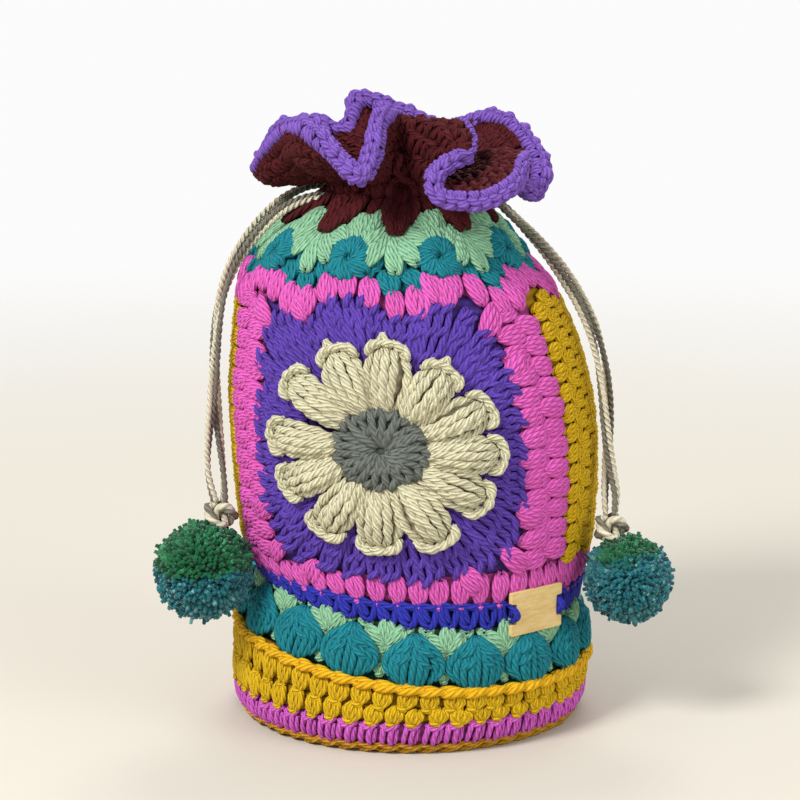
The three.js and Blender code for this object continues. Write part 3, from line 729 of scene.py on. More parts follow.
def ring_core(profile, columns, place):
    """A closed profile of (depth, share) spun into a ring, then laid along the fabric."""
    bm = bmesh.new()
    corners = [bm.verts.new((RING + depth, 0, share)) for depth, share in profile]
    edges = [bm.edges.new((corners[i - 1], corners[i])) for i in range(len(corners))]
    bmesh.ops.spin(bm, geom=corners + edges, axis=(0, 0, 1), angle=TURN, steps=columns, use_merge=True)
    bmesh.ops.remove_doubles(bm, verts=bm.verts, dist=1e-4)
    return core_mesh(bm, lambda x, y, z: place(np.arctan2(y, x), z, np.hypot(x, y) - RING))


def panel_core(columns, rows, place):
    """A flat slab of (0..1 across, 0..1 up, 0..1 out), laid along the fabric."""
    bm = bmesh.new()
    bmesh.ops.create_grid(bm, x_segments=columns, y_segments=rows, size=0.5)
    bmesh.ops.translate(bm, verts=bm.verts, vec=(0.5, 0.5, 0))
    extruded(bm, bm.faces[:], 1)
    return core_mesh(bm, place)


def round_core(lower, upper, columns=72, top=CORE):
    """The backing of one round between two edges, which may change with the angle."""
    profile = [(-WALL, 0)] + [(top, s) for s in np.linspace(0, 1, 5)] + [(-WALL, 1)]

    def place(angle, share, depth):
        level = lerp(lower(angle) + GAP / 2, upper(angle) - GAP / 2, share)
        return wall(angle, level, depth)

    return ring_core(profile, columns, place)


def level_of(name, wave=0.0):
    return lambda angle: LEVELS[name] + wave * pleat_at(angle)


# Stitch patterns: strands of (across, up, out, thickness) in stitch widths, row heights and mm

BEAN_LEFT = [
    drawn(7, (-0.02, -0.04, -1.6, 0.8), (-0.22, 0.2, -1, 1.15), (-0.33, 0.52, -0.8, 1.25),
          (-0.27, 0.84, -0.9, 1.15), (-0.06, 1.02, -1.8, 0.8)),
    drawn(6, (0.02, 0.02, -0.9, 0.8), (-0.1, 0.3, -0.45, 1), (-0.13, 0.6, -0.35, 1.05),
          (-0.05, 0.92, -1, 0.85)),
]
BEAN_KNOB = drawn(5, (-0.2, 0.06, -1.6, 0.8), (-0.06, -0.07, -0.6, 1.1), (0.08, -0.07, -0.6, 1.1),
                  (0.2, 0.06, -1.6, 0.8))
BEAN = BEAN_LEFT + mirrored(BEAN_LEFT) + [BEAN_KNOB]

TALL_LEFT = [
    drawn(8, (-0.02, -0.05, -1.6, 0.8), (-0.24, 0.16, -0.9, 1.25), (-0.34, 0.5, -0.7, 1.4),
          (-0.3, 0.84, -0.8, 1.25), (-0.1, 1.03, -1.8, 0.8)),
    drawn(7, (0.04, 0, -0.8, 0.9), (-0.1, 0.28, -0.2, 1.1), (-0.12, 0.62, -0.1, 1.15),
          (-0.04, 0.95, -0.9, 0.9)),
]
TALL_BEAN = TALL_LEFT + mirrored(TALL_LEFT)

CUP_LEFT = [
    drawn(8, (-0.36, 1.08, -1.7, 0.9), (-0.38, 0.7, -1, 1.1), (-0.26, 0.25, -0.8, 1.15),
          (-0.02, 0.02, -0.9, 1.05)),
]
CUP = CUP_LEFT + mirrored(CUP_LEFT) + [
    drawn(6, (-0.2, 1, -1.5, 0.8), (-0.12, 0.62, -0.7, 1), (0.02, 0.3, -0.7, 1)),
    drawn(8, (0.46, 1.02, -1.6, 0.8), (0.2, 0.92, -0.7, 1), (-0.1, 1, -0.8, 1), (-0.4, 1.1, -1.6, 0.8)),
]

POST_PAIR = [
    drawn(8, (-0.24, -0.06, -1.7, 0.9), (-0.27, 0.3, -0.9, 1.1), (-0.24, 0.7, -0.8, 1.15),
          (-0.14, 1.02, -1.7, 0.9)),
    drawn(8, (0.16, -0.06, -1.7, 0.9), (0.1, 0.3, -0.9, 1.1), (0.14, 0.7, -0.8, 1.1),
          (0.26, 1.02, -1.7, 0.9)),
    drawn(8, (-0.4, 0.9, -1.6, 0.8), (-0.1, 0.78, -0.6, 1), (0.2, 0.86, -0.6, 1), (0.44, 1.06, -1.6, 0.8)),
    drawn(6, (0.34, 0.1, -1.7, 0.8), (0.38, 0.4, -1.2, 0.9), (0.4, 0.8, -1.5, 0.8)),
]

SINGLE = [
    drawn(8, (-0.34, 1.04, -1.8, 0.8), (-0.3, 0.62, -1, 1.05), (-0.14, 0.24, -0.8, 1.1),
          (0.04, 0, -1.2, 0.9)),
    drawn(8, (0.38, 1.02, -1.8, 0.8), (0.32, 0.6, -1, 1.05), (0.16, 0.22, -0.8, 1.1), (0, -0.04, -1.2, 0.9)),
    drawn(8, (-0.42, 0.82, -1.5, 0.8), (-0.14, 0.98, -0.7, 0.95), (0.16, 0.96, -0.7, 0.95),
          (0.44, 0.8, -1.5, 0.8)),
]

POST_SIDE = [
    drawn(8, (-0.06, -0.04, -1.9, 0.8), (-0.28, 0.16, -0.9, 1.25), (-0.33, 0.5, -0.5, 1.4),
          (-0.28, 0.82, -0.7, 1.3), (-0.08, 1.02, -1.9, 0.8)),
]
POST = POST_SIDE + mirrored(POST_SIDE) + [
    drawn(6, (-0.42, s, -1.4, 0.7), (-0.14, s + 0.08, 0.2, 1.2), (0.16, s + 0.15, 0.2, 1.2),
          (0.42, s + 0.2, -1.4, 0.7))
    for s in (0.2, 0.52, 0.8)
]

CHAIN = [
    drawn(8, (-0.7, 0.15, -1.9, 0.7), (-0.35, 0.2, -1, 1.15), (0.1, 0.5, -0.9, 1.2), (0.6, 0.8, -1.8, 0.7)),
    drawn(8, (-0.7, 0.85, -2.1, 0.7), (-0.3, 0.85, -1.3, 1.1), (0.15, 0.6, -1.2, 1.1), (0.6, 0.2, -2, 0.7)),
]

THICK_CHAIN = [strand * [1, 1, 1, 1.3] for strand in CHAIN]
THICK_CUP = [strand * [1, 1, 0.6, 1.2] for strand in CUP]


def work_round(name, yarn_name, pattern, lower, upper, seed, count=STITCHES, shift=0.0, out=0.0, turn=0.0,
               core=None, place=wall, loose=0.05):
    """Works one pattern round the pouch between two edges and shows it with its backing."""
    work = Work(place, seed)
    width = TURN / count
    for i in range(count):
        angle = (i + shift) * width
        low, high = lower(angle), upper(angle)
        work.stitch(pattern, (angle, low), (width, high - low), out, turn, loose)
    show(work, name, yarn_name, core or round_core(lower, upper))


# Base

def on_floor(angle, level, depth):
    """The wall's foot, with nothing below the surface that the pouch stands on."""
    place = wall(angle, level, depth)
    lowest = 0.9  # of a strand's middle
    place[..., 2] = np.maximum(place[..., 2], lowest)
    return place


def foot_core():
    def place(angle, share, depth):
        position = wall(angle, share * (LEVELS["orchid"] - GAP / 2), depth)
        position[..., 2] = np.where(share == 0, 0, position[..., 2])
        return position

    profile = [(-WALL, 0), (-2.6, 0), (CORE, 0.5), (CORE, 1), (-WALL, 1)]
    return ring_core(profile, 72, place)


def base_disc():
    """Stitches worked in rounds on the underside of a flat disc."""
    half_width, half_depth = (REACH[0, column] - WALL - GAP for column in (2, 3))
    wide = half_width / half_depth
    rounds, pitch, half_stitch = 7, 7.0, 4.2
    thick, middle = 3.1, 2.95
    work = Work(xyz, 11)
    t = np.linspace(0, 1, 7)
    for row in range(1, rounds + 1):
        count = 6 * row
        radius = row * pitch - 1
        for i in range(count):
            turn = (i + 0.5 * (row % 2)) * TURN / count
            for side in (-1, 1):
                ahead = radius + (2 * half_stitch * t - half_stitch)
                x, y = turned(ahead, side * (0.5 + 2.2 * arch(t)), turn)
                work.strand(x * wide, y, 1.25 + 0.35 * np.cos(TURN * t), 0.8 + 0.4 * arch(t))
    bm = bmesh.new()
    radius = half_depth * MM
    bmesh.ops.create_cone(bm, cap_ends=True, segments=72, radius1=radius, radius2=radius, depth=thick * MM)
    bmesh.ops.scale(bm, verts=bm.verts, vec=(wide, 1, 1))
    bmesh.ops.translate(bm, verts=bm.verts, vec=(0, 0, middle * MM))
    show(work, "base_disc", "mustard_yarn", as_mesh(bm))


def base_rounds():
    names = ("orchid", "mustard_lower", "mustard_upper", "ridge", "puffs")
    orchid, lower, upper, ridge, puffs = map(level_of, names)
    base_disc()
    work_round("base_edge_round", "dark_mustard_yarn", CHAIN, level_of("base"), orchid, 12,
               place=on_floor, core=foot_core(), loose=0.04)
    work_round("base_orchid_round", "orchid_yarn", POST_PAIR, orchid, lower, 13, turn=0.12)
    work_round("base_mustard_round_lower", "mustard_yarn", BEAN, lower, upper, 14,
               shift=0.3, turn=0.25, out=0.2, loose=0.08)
    work_round("base_mustard_round_upper", "mustard_yarn", BEAN, upper, lambda angle: ridge(angle) + 0.8, 15,
               count=50, shift=0.8, turn=0.3, out=0.4, loose=0.08, core=round_core(upper, ridge))
    work_round("orange_ridge_round", "orange_yarn", THICK_CHAIN, ridge, puffs, 16,
               out=2.4, core=round_core(ridge, puffs, top=0.0))


# Puffs and leaves

def from_puff(angle):
    """How far an angle is from the nearest puff's middle: 0 there, 1 midway between two."""
    turns = (angle - PUFF_FIRST) * PUFFS / TURN
    return 2 * np.abs(turns - np.round(turns))


def leaf_edge(angle):
    return LEVELS["mint"] - LEAF_DROP * np.maximum(0, 2 * from_puff(angle) - 1)


PUFF_COLUMNS = 12 * PUFFS

# How wide a puff's strands are spread, from its top (0) to its foot (1)
PUFF_FAN = np.array([[0, 0.1], [0.15, 0.34], [0.35, 0.7], [0.6, 0.93], [0.8, 0.95], [1, 0.72]])


def puff_round():
    """Strands gathered at their top and fanned down over a round cushion, puff after puff."""
    middle_level = (LEVELS["puffs"] + LEVELS["mint"]) / 2
    radius = along(REACH, 3, middle_level)
    pitch = TURN * radius / PUFFS
    half_width = PUFF_WIDTH / 2 / radius
    half_height = (LEVELS["mint"] - LEVELS["puffs"]) / 2 + 0.6

    def core_place(angle, share, depth):
        level = lerp(LEVELS["puffs"] + GAP / 2, leaf_edge(angle) - GAP / 2, share)
        u = from_puff(angle) * pitch / PUFF_WIDTH
        v = 2 * (share - 0.5)
        swell = PUFF_STANDS_OUT * np.sqrt(np.maximum(0, 1 - u * u - v * v)) - 3.4
        return wall(angle, level, np.where(depth < -1, depth, swell))

    work = Work(wall, 21)

    def lay(u, v, sunk, lower, thickness):
        bulge = PUFF_STANDS_OUT * np.sqrt(np.maximum(0.0, 1 - 0.7 * u * u - 0.9 * v * v))
        across, up = angle + u * half_width, middle_level + v * half_height
        work.strand(across, up, bulge - sunk - lower, thickness)

    for i in range(PUFFS):
        angle = PUFF_FIRST + i * TURN / PUFFS
        lean = work.random.normal(0, 0.06)
        t = np.linspace(0, 1, 13)
        spread_out = np.interp(t, PUFF_FAN[:, 0], PUFF_FAN[:, 1])
        full = 0.5 + 0.5 * arch(np.clip(0.05 + t * 0.9, 0, 1)) ** 0.5
        for j, s in enumerate(np.linspace(-1, 1, 9)):
            u = s * spread_out + lean * (1 - t) + work.random.normal(0, 0.025)
            v = 0.98 - (1.96 - 0.3 * s * s) * t
            wobble = 0.4 * (j % 2) + work.random.normal(0, 0.15)
            lay(u, v, 1.7, wobble, (1.45 + 0.15 * (j % 2)) * full)
        # Shorter strands that slant out from the middle
        t = np.linspace(0, 1, 8)
        for side in (-1, 1):
            for drop, lower in ((0.0, 0.0), (0.5, 0.25)):
                u = side * (0.06 + 0.62 * t) + work.random.normal(0, 0.03)
                v = 0.7 - drop - 0.75 * t + 0.3 * t * t
                lay(u, v, 0.9, lower, 0.45 + 0.85 * arch(t))
    profile = [(-WALL, 0)] + [(0, s) for s in np.linspace(0, 1, 7)] + [(-WALL, 1)]
    show(work, "teal_puff_round", "teal_yarn", ring_core(profile, PUFF_COLUMNS, core_place))


def mint_leaves():
    """Three leaves fanned from a stem between each two puffs, and a plain row over the puffs."""
    work = Work(wall, 22)
    radius = along(REACH, 3, LEVELS["mint"])
    foot = LEVELS["mint"] - 5.0
    for i in range(PUFFS):
        angle = PUFF_FIRST + (i + 0.5) * TURN / PUFFS
        for turn, reach in ((-0.85, 8.6), (0.0, 9.4), (0.85, 8.6)):
            fanned(work, TALL_BEAN, (angle, foot), turn, reach, 5.8, out=1.3, thick=0.95,
                   scale=(1 / radius, 1), wild=0.06)
        for step, drop in enumerate((2.4, 6.2, 9.8)):
            work.stitch(BEAN, (angle, foot - drop), (5.6 / radius, 4.6), out=0.7 - 0.35 * step, loose=0.06)
        for part in (-1, 1):
            work.stitch(SINGLE, (angle + part * 0.34 * TURN / PUFFS, LEVELS["mint"]),
                        (6.2 / radius, LEVELS["navy"] - LEVELS["mint"]))
    core = round_core(leaf_edge, level_of("navy"), columns=PUFF_COLUMNS)
    show(work, "mint_leaf_round", "mint_yarn", core)


# Flower squares

def square_place(middle):
    """Millimetres right and up from a flower's centre, laid on the wall."""
    radius = along(REACH, 3, FLOWER_LEVEL)

    def place(u, v, w):
        return wall(np.radians(middle) + u / radius, FLOWER_LEVEL + v, w)

    return place


def square_edge(turn, middle):
    """How far the purple ground reaches from the flower's centre, clockwise from straight up."""
    radius = along(REACH, 3, FLOWER_LEVEL)
    half_width = np.radians(SQUARE_ANGLE / 2) * radius
    reach_up = 48
    across = np.clip(np.tan(turn) * reach_up, -half_width, half_width)
    top = pink_foot(np.radians(middle) + across / radius) - FLOWER_LEVEL
    half_height = np.where(np.cos(turn) > 0, top, FLOWER_LEVEL - LEVELS["square"])
    s, c = np.abs(np.sin(turn)) / half_width, np.abs(np.cos(turn)) / half_height
    return (s**4 + c**4) ** (-1 / 4)


def panel(start, end, columns=20):
    """The backing of a panel between two angles, from the lower pink round to the upper one."""
    def place(x, y, z):
        angle = np.radians(lerp(start + 0.2, end - 0.2, x))
        level = lerp(LEVELS["square"] + GAP / 2, pink_foot(angle) - GAP / 2, y)
        return wall(angle, level, lerp(-WALL, CORE, z))

    return panel_core(columns, 24, place)


def square_ground(side, middle, seed):
    """Clusters of long posts that spread from under the petals to the square's edge."""
    work = Work(square_place(middle), seed)
    posts = 76
    fine = np.linspace(0, TURN, 721) + TURN / 16
    run = run_of(np.stack(clockwise(square_edge(fine, middle), fine), axis=-1))
    pitch = run[-1] / posts
    for i in range(posts):
        in_cluster = i % 4 - 1.5
        turn = np.interp((i + 0.5 - 0.13 * in_cluster) * pitch, run, fine)
        end = square_edge(turn, middle) + 0.9
        start = min(end - 15, 27)
        fanned(work, POST, clockwise(start, turn), turn + 0.04 * in_cluster, end - start, pitch * 1.12,
               out=0.35 - 0.4 * abs(in_cluster), taper=0.3, wild=0.045)
    half = SQUARE_ANGLE / 2
    show(work, side + "_square_ground", "purple_yarn", panel(middle - half, middle + half))


def border(side, hand, middle, seed):
    """Two columns of beans that lie on their sides, and a fan of them round each corner."""
    way = -1 if hand == "left" else 1
    start = middle + way * SQUARE_ANGLE / 2
    pitch = SQUARE_HEIGHT / BORDER_ROWS
    work = Work(wall, seed)
    for column, tilt in enumerate((-0.06, 0.1)):
        foot = np.radians(start) + way * (-2.4 + 10.2 * column) / BORDER_RADIUS
        for row in range(BORDER_ROWS):
            level = LEVELS["square"] + (row + 0.4 + 0.5 * column) * pitch
            if level > pink_foot(foot) - 0.3 * pitch:
                continue
            fanned(work, TALL_BEAN, (foot, level), way * (TURN / 4 + tilt), 13.4, pitch * 1.02,
                   out=0.25 * column, scale=(1 / BORDER_RADIUS, 1), wild=0.045)
    radius = along(REACH, 3, FLOWER_LEVEL)
    for corner in (TURN / 8, 3 * TURN / 8):
        for k, length in ((-1, 10.0), (0, 13.0), (1, 10.0)):
            turn = way * (corner + 0.27 * k)
            right, up = clockwise(square_edge(turn, middle) - 2.0, turn)
            foot = (np.radians(middle) + right / radius, FLOWER_LEVEL + up)
            fanned(work, TALL_BEAN, foot, turn, length, 7.4, out=0.6, scale=(1 / radius, 1))
    core = panel(*sorted((start, start + way * BORDER_ANGLE)), columns=6)
    show(work, side + "_border_" + hand, "hot_pink_yarn", core)


def flower_centre(side, middle, seed):
    """Thick posts worked round a small hole, with the tops of their loops round the edge."""
    place = square_place(middle)
    work = Work(place, seed)
    posts = 20
    for i in range(posts):
        turn = i * TURN / posts + work.random.normal(0, 0.04)
        t = np.linspace(0, 1, 10)
        thickness = 0.5 + arch(np.clip(0.22 + t * 0.72, 0, 1))
        dome = 3.5 * arch(np.clip(0.14 + 0.76 * t, 0, 1)) ** 0.7
        for k in (-1, 1):
            reach = 1.7 + (13.4 + 0.5 * work.random.normal()) * t
            swing = turn + k * 0.07 + 0.09 * arch(t) * k
            work.strand(*clockwise(reach, swing), dome - 0.3 + 0.4 * work.random.normal(), thickness)
        t = np.linspace(-1, 1, 7)
        for ring in (0.5, 0.88):
            reach = 14.6 * ring + 1.6 * t + 0.5 * work.random.normal()
            swing = turn + (0.3 + 0.25 * (ring < 0.6)) * TURN / posts * t
            work.strand(*clockwise(reach, swing), 4.5 - 1.7 * ring - 1.3 * t * t, 1.3 - 0.4 * t * t)
    bm = bmesh.new()
    bmesh.ops.create_uvsphere(bm, u_segments=32, v_segments=12, radius=1.0)
    core = core_mesh(bm, lambda x, y, z: place(x * 14.2, y * 14.2, 1.2 + z * (1.1 + 0.9 * np.hypot(x, y))))
    show(work, side + "_flower_centre", "grey_yarn", core)


# Degrees clockwise from the top
PETAL_TURNS = (8, 39, 67, 94, 122, 153, 183, 213, 245, 274, 309, 340)
POINTED_PETALS = (8, 39, 340)


def petal(work, turn, lift, pointed):
    """Thick plied posts rising from the flower's centre, with loops worked round their tip."""
    def lay(ahead, across, out, thickness):
        work.strand(*turned(ahead, across, turn), out + lift, thickness)

    start = FLOWER_CENTRE_RADIUS - 2
    length = (PETAL_LENGTH + 1.4) * (1 + work.random.normal(0, 0.025))
    t = np.linspace(0, 1, 11)
    half = np.interp(t, (0, 0.3, 0.65, 0.85, 1), (2.0, 4.3, 5.6, 5.4, 3.6))
    dome = np.interp(t, (0, 0.2, 0.5, 0.85, 1), (1.2, 4.2, 6.2, 5.0, 2.2))
    thickness = 1.25 * (0.6 + 0.4 * arch(np.clip(0.12 + t * 0.8, 0, 1)))
    for i, s in enumerate((-1, -0.5, 0, 0.5, 1)):
        reach = length * (0.93 - 0.05 * s * s)
        sway = 0.5 * work.random.normal() * arch(t)
        for phase in (0, np.pi):
            wind = 2 * TURN * t + phase + 1.3 * i
            across = s * half + sway + 0.72 * np.cos(wind)
            over = dome * (1 - 0.5 * s * s) + 0.66 * np.sin(wind) - 0.4
            lay(start + reach * t, across, over, thickness)
    tip = start + length * 0.86
    s = np.linspace(-1, 1, 7)
    flow = 2.6 * s
    for bend in (-1.25, -0.65, 0, 0.65, 1.25):
        ahead = tip + length * 0.13 * np.cos(bend) + 0.2 * work.random.normal()
        across = 5.9 * np.sin(bend)
        for k in (-1, 1):
            side = k * np.cos(np.pi / 2 * s) - 0.5 * k
            lay(
                ahead - flow * np.sin(bend) + side * np.cos(bend),
                across + flow * np.cos(bend) + side * np.sin(bend),
                2.9 + 0.5 * k - s * s,
                1.3 * (1 - 0.3 * s * s),
            )
    if pointed:
        s = np.linspace(0, 1, 7)
        for k in (-1, 1):
            lay(tip + length * 0.1 + 4.4 * s, k * 1.7 * (1 - s) - 1.5, 3.0 - 0.9 * s, 1.35 - 0.45 * s)


def flower_petals(side, middle, seed):
    place = square_place(middle)
    work = Work(place, seed)
    bm = bmesh.new()
    for i, degrees in enumerate(PETAL_TURNS):
        turn = np.radians(degrees)
        lift = 0.5 * (i % 2)
        petal(work, turn, lift, degrees in POINTED_PETALS)
        made = bmesh.ops.create_uvsphere(bm, u_segments=14, v_segments=8, radius=1.0)
        for vertex in made["verts"]:
            x, y, z = vertex.co
            ahead = FLOWER_CENTRE_RADIUS - 1 + PETAL_LENGTH * (0.5 + 0.46 * y)
            across = x * 5.4 * (1 + 0.3 * y)
            vertex.co = (*turned(ahead, across, turn), 1.3 + 1.8 * z + lift)
    show(work, side + "_flower_petals", "cream_yarn", core_mesh(bm, place))


def side_strip(hand, start, end, seed):
    """Columns of stitches that run up the pouch's side."""
    work = Work(wall, seed)
    columns = 6
    pitch = SQUARE_HEIGHT / BORDER_ROWS
    width = np.radians(end - start) / columns
    for column in range(columns):
        way = 1 if column % 2 else -1
        middle = np.radians(start) + (column + 0.5) * width
        for row in range(BORDER_ROWS):
            level = LEVELS["square"] + (row + 0.5) * pitch + 0.25 * pitch * way
            if not LEVELS["square"] + 1 < level < pink_foot(middle) + 2:
                continue
            jitter = work.random.normal(0, 1, 3)
            for strand in BEAN:
                ahead = strand[:, 1] - 0.5
                work.strand(
                    middle + way * width * 1.12 * ahead,
                    level + strand[:, 0] * pitch * 0.96 + 0.25 * jitter[0] - ahead,
                    strand[:, 2] + 0.1 * jitter[1],
                    strand[:, 3] * 0.98,
                )
    show(work, "side_strip_" + hand, "mustard_yarn", panel(start, end))


def body_rounds():
    navy, pink, square = map(level_of, ("navy", "lower_pink", "square"))
    work_round("navy_round", "navy_yarn", THICK_CUP, navy, pink, 31, shift=0.5)
    work_round("lower_pink_round", "hot_pink_yarn", BEAN, pink, square, 32)
    for k, (side, middle) in enumerate((("front", SQUARE_MIDDLE), ("back", SQUARE_MIDDLE + 180))):
        square_ground(side, middle, 40 + k)
        border(side, "left", middle, 50 + k)
        border(side, "right", middle, 60 + k)
        flower_centre(side, middle, 70 + k)
        flower_petals(side, middle, 80 + k)
    outer = SQUARE_ANGLE / 2 + BORDER_ANGLE
    apart = 0.3
    side_strip("right", SQUARE_MIDDLE + outer + apart, SQUARE_MIDDLE + 180 - outer - apart, 91)
    side_strip("left", SQUARE_MIDDLE - 180 + outer + apart, SQUARE_MIDDLE - outer - apart, 92)


# Scalloped rounds under the neck

SCALLOP_COLUMNS = 12 * PLEATS


def on_slope(level):
    """What turns millimetres along the cloth into angles and levels near a level."""
    taper = taper_at(level)
    oval = 1.06  # about the mean reach over the reach to the front
    return 1 / (along(REACH, 3, level) * oval), 1 / np.sqrt(1 + taper * taper)


def filled(work, low, high):
    """Plain rows of stitches between two edges."""
    count, rows = 40, 2
    width = TURN / count
    for row in range(rows):
        for i in range(count):
            angle = (i + 0.5 * row) * width
            bottom, top = low(angle), high(angle)
            step = (top - bottom) / rows
            work.stitch(BEAN, (angle, bottom + row * step), (width, step * 1.12), loose=0.07)


def upper_rounds():
    """The pink wave, teal rosettes on its crests, and mint fans that hang into its troughs."""
    crests = [PLEAT_FIRST + i * TURN / PLEATS for i in range(PLEATS)]
    teal_top = level_of("top_mint", WAVE)
    work_round("upper_pink_round", "hot_pink_yarn", TALL_BEAN, lambda angle: pink_foot(angle) - 1.8,
               lambda angle: pink_top(angle) + 0.8, 101, count=44, turn=0.32, out=0.4, loose=0.08,
               core=round_core(pink_foot, pink_top, columns=SCALLOP_COLUMNS))

    work = Work(wall, 102)
    filled(work, pink_top, teal_top)
    rosette_level, petals, hole = 176.0, 8, 1.5
    scale = on_slope(rosette_level)
    for crest in crests:
        for turn in np.arange(petals) * TURN / petals:
            right, up = clockwise(hole, turn)
            foot = (crest + right * scale[0], rosette_level + up * scale[1])
            fanned(work, TALL_BEAN, foot, turn, 6.4, 5.6, out=1.6, taper=0.45, scale=scale, wild=0.06)
    core = round_core(pink_top, teal_top, columns=SCALLOP_COLUMNS)
    show(work, "teal_scallop_round", "teal_yarn", core)

    def mint_top(angle):
        return LEVELS["neck"] - NECK_OVERLAP + WAVE * pleat_at(angle)

    work = Work(wall, 103)
    filled(work, teal_top, mint_top)
    fan_level = 184.5
    low_scale = on_slope(180.0)
    scale = on_slope(187.0)
    for crest in crests:
        trough = crest + TURN / PLEATS / 2
        for turn in (-1.05, -0.55, 0.0, 0.55, 1.05):
            fanned(work, TALL_BEAN, (trough, fan_level), np.pi + turn, 17.5 - 4.5 * abs(turn), 6.0,
                   out=2.0, scale=low_scale, wild=0.05)
        for row, level in enumerate((179.5, 184.0)):
            for k in (-1, 0, 1):
                foot = (crest + k * (0.19 - 0.04 * row) * TURN / PLEATS, level)
                fanned(work, TALL_BEAN, foot, 0.25 * k, 8.4, 6.6, out=1.0, scale=scale, wild=0.08)
    show(work, "mint_scallop_round", "mint_yarn", round_core(teal_top, mint_top, columns=SCALLOP_COLUMNS))


# Neck, collar and its edging

def collar_piece():
    """Stitches on both faces of the cloth, and fuller ones in the neck's folds, over the cords."""
    work = Work(collar_cloth, 111)
    columns = 72
    width = TURN / columns
    edges = (-0.11, 0.08, 0.26, 0.42, 0.57, 0.72, 0.86, 1.0)
    neck_rows = 3  # worked on the outer face alone
    t = np.linspace(0, 1, 5)
    bar = np.linspace(-1, 1, 5)
    for row, (low, high) in enumerate(zip(edges, edges[1:])):
        for i in range(columns):
            angle = (i + 0.5 * (row % 2)) * width
            for face in (1, -1):
                if row < neck_rows and face < 0:
                    continue
                jitter = work.random.normal(0, 1, 5)
                share = lerp(low, high, -0.1 + 1.15 * t)
                side = face * (0.5 + 0.75 * arch(t) + 0.25 * jitter[1])
                for k in (-1, 1):
                    u = k * (0.1 + 0.2 * arch(t)) + 0.07 * jitter[0]
                    work.strand(angle + u * width * 1.1, share, side, 1.55 * (0.55 + 0.45 * arch(t)))
                work.strand(
                    angle + (0.5 * bar + 0.08 * jitter[2]) * width,
                    lerp(low, high, 0.86 + 0.08 * jitter[3]),
                    face * (1.5 - bar * bar + 0.2 * jitter[4]),
                    1.35 - 0.4 * bar * bar,
                )
    for i in range(PLEATS):
        fold = PLEAT_FIRST + (i + 0.5) * TURN / PLEATS
        for k in (-1.5, -0.5, 0.5, 1.5):
            angle = fold + np.radians(5.2) * k
            full = 9.2 - 0.9 * k * k
            for low in (-0.15, 0.02, 0.18):
                for strand in TALL_BEAN:
                    work.strand(
                        angle + strand[:, 0] * np.radians(9.5),
                        low + 0.03 * abs(k) + strand[:, 1] * 0.19,
                        full + strand[:, 2] + 0.5 * work.random.normal(),
                        strand[:, 3] * 1.1,
                    )
    shares = (-0.1, 0.15, 0.3, 0.45, 0.6, 0.75, 0.9, 1.04)
    profile = [(1.0, s) for s in shares] + [(-1.0, s) for s in reversed(shares)]
    show(work, "burgundy_collar", "burgundy_yarn", ring_core(profile, 198, collar_cloth))


def evenly(count):
    """What turns a place along the collar's edge, counted in even stitches, into an angle."""
    fine = np.linspace(0, TURN, 1441)
    run = run_of(collar_middle(fine, np.ones_like(fine)))
    parts = 8  # of each stitch
    steps = np.arange(count * parts + 1)
    marks = np.interp(steps / (count * parts) * run[-1], run, fine)
    return lambda place: np.interp(np.mod(place * parts, count * parts), steps, marks)


def edging_piece():
    """Loops worked over the collar's edge, one beside the other."""
    at = evenly(EDGING_LOOPS)
    work = Work(collar_rim, 112)
    t = np.linspace(0, 1, 7)
    rise = arch(t)
    full = 0.6 + 0.4 * rise
    for i in range(EDGING_LOOPS):
        jitter = work.random.normal(0, 1, 4)
        for face in (-1, 1):
            # The braid along the crest
            work.strand(at(i - 0.65 + 1.25 * t), 1.0 + 0.9 * rise + 0.3 * jitter[0],
                        face * (1.9 - 1.5 * t), 1.45 * full)
            # Two legs down each face of the cloth
            for k in (-1, 1):
                along_edge = at(i + k * (0.1 + 0.22 * t) + 0.08 * jitter[1])
                work.strand(along_edge, 1.0 - (4.6 + 0.5 * jitter[3]) * t,
                            face * (1.7 + 0.8 * rise + 0.2 * jitter[2]), 1.4 * full)
        # A small peak on every other stitch
        if i % 2 == 0:
            work.strand(at(i - 0.5 + t), 0.8 + 2.4 * rise + 0.3 * jitter[3], 0.5 * jitter[2] * rise,
                        1.35 * full)
    profile = [(1.5 * np.cos(a), 1.5 * np.sin(a)) for a in np.linspace(0, TURN, 7)[:-1]]
    core = ring_core(profile, 240, lambda angle, share, depth: collar_rim(angle, depth - 0.4, share))
    show(work, "violet_collar_edging", "violet_yarn", core)


# Cords, knots and pompoms

def beside(line, lean):
    """Two directions square to a line, all along it."""
    ahead = unit(np.gradient(line, axis=0))
    side = unit(np.cross(ahead, lean))
    return side, np.cross(side, ahead)


def cord_piece(name, works):
    """Shows a cream yarn and a grey one as one piece of cord."""
    cream, grey = (work.mesh(name) for work in works)
    return add_piece(name, join(cream, grey), [cord_cream, cord_grey], "strands")


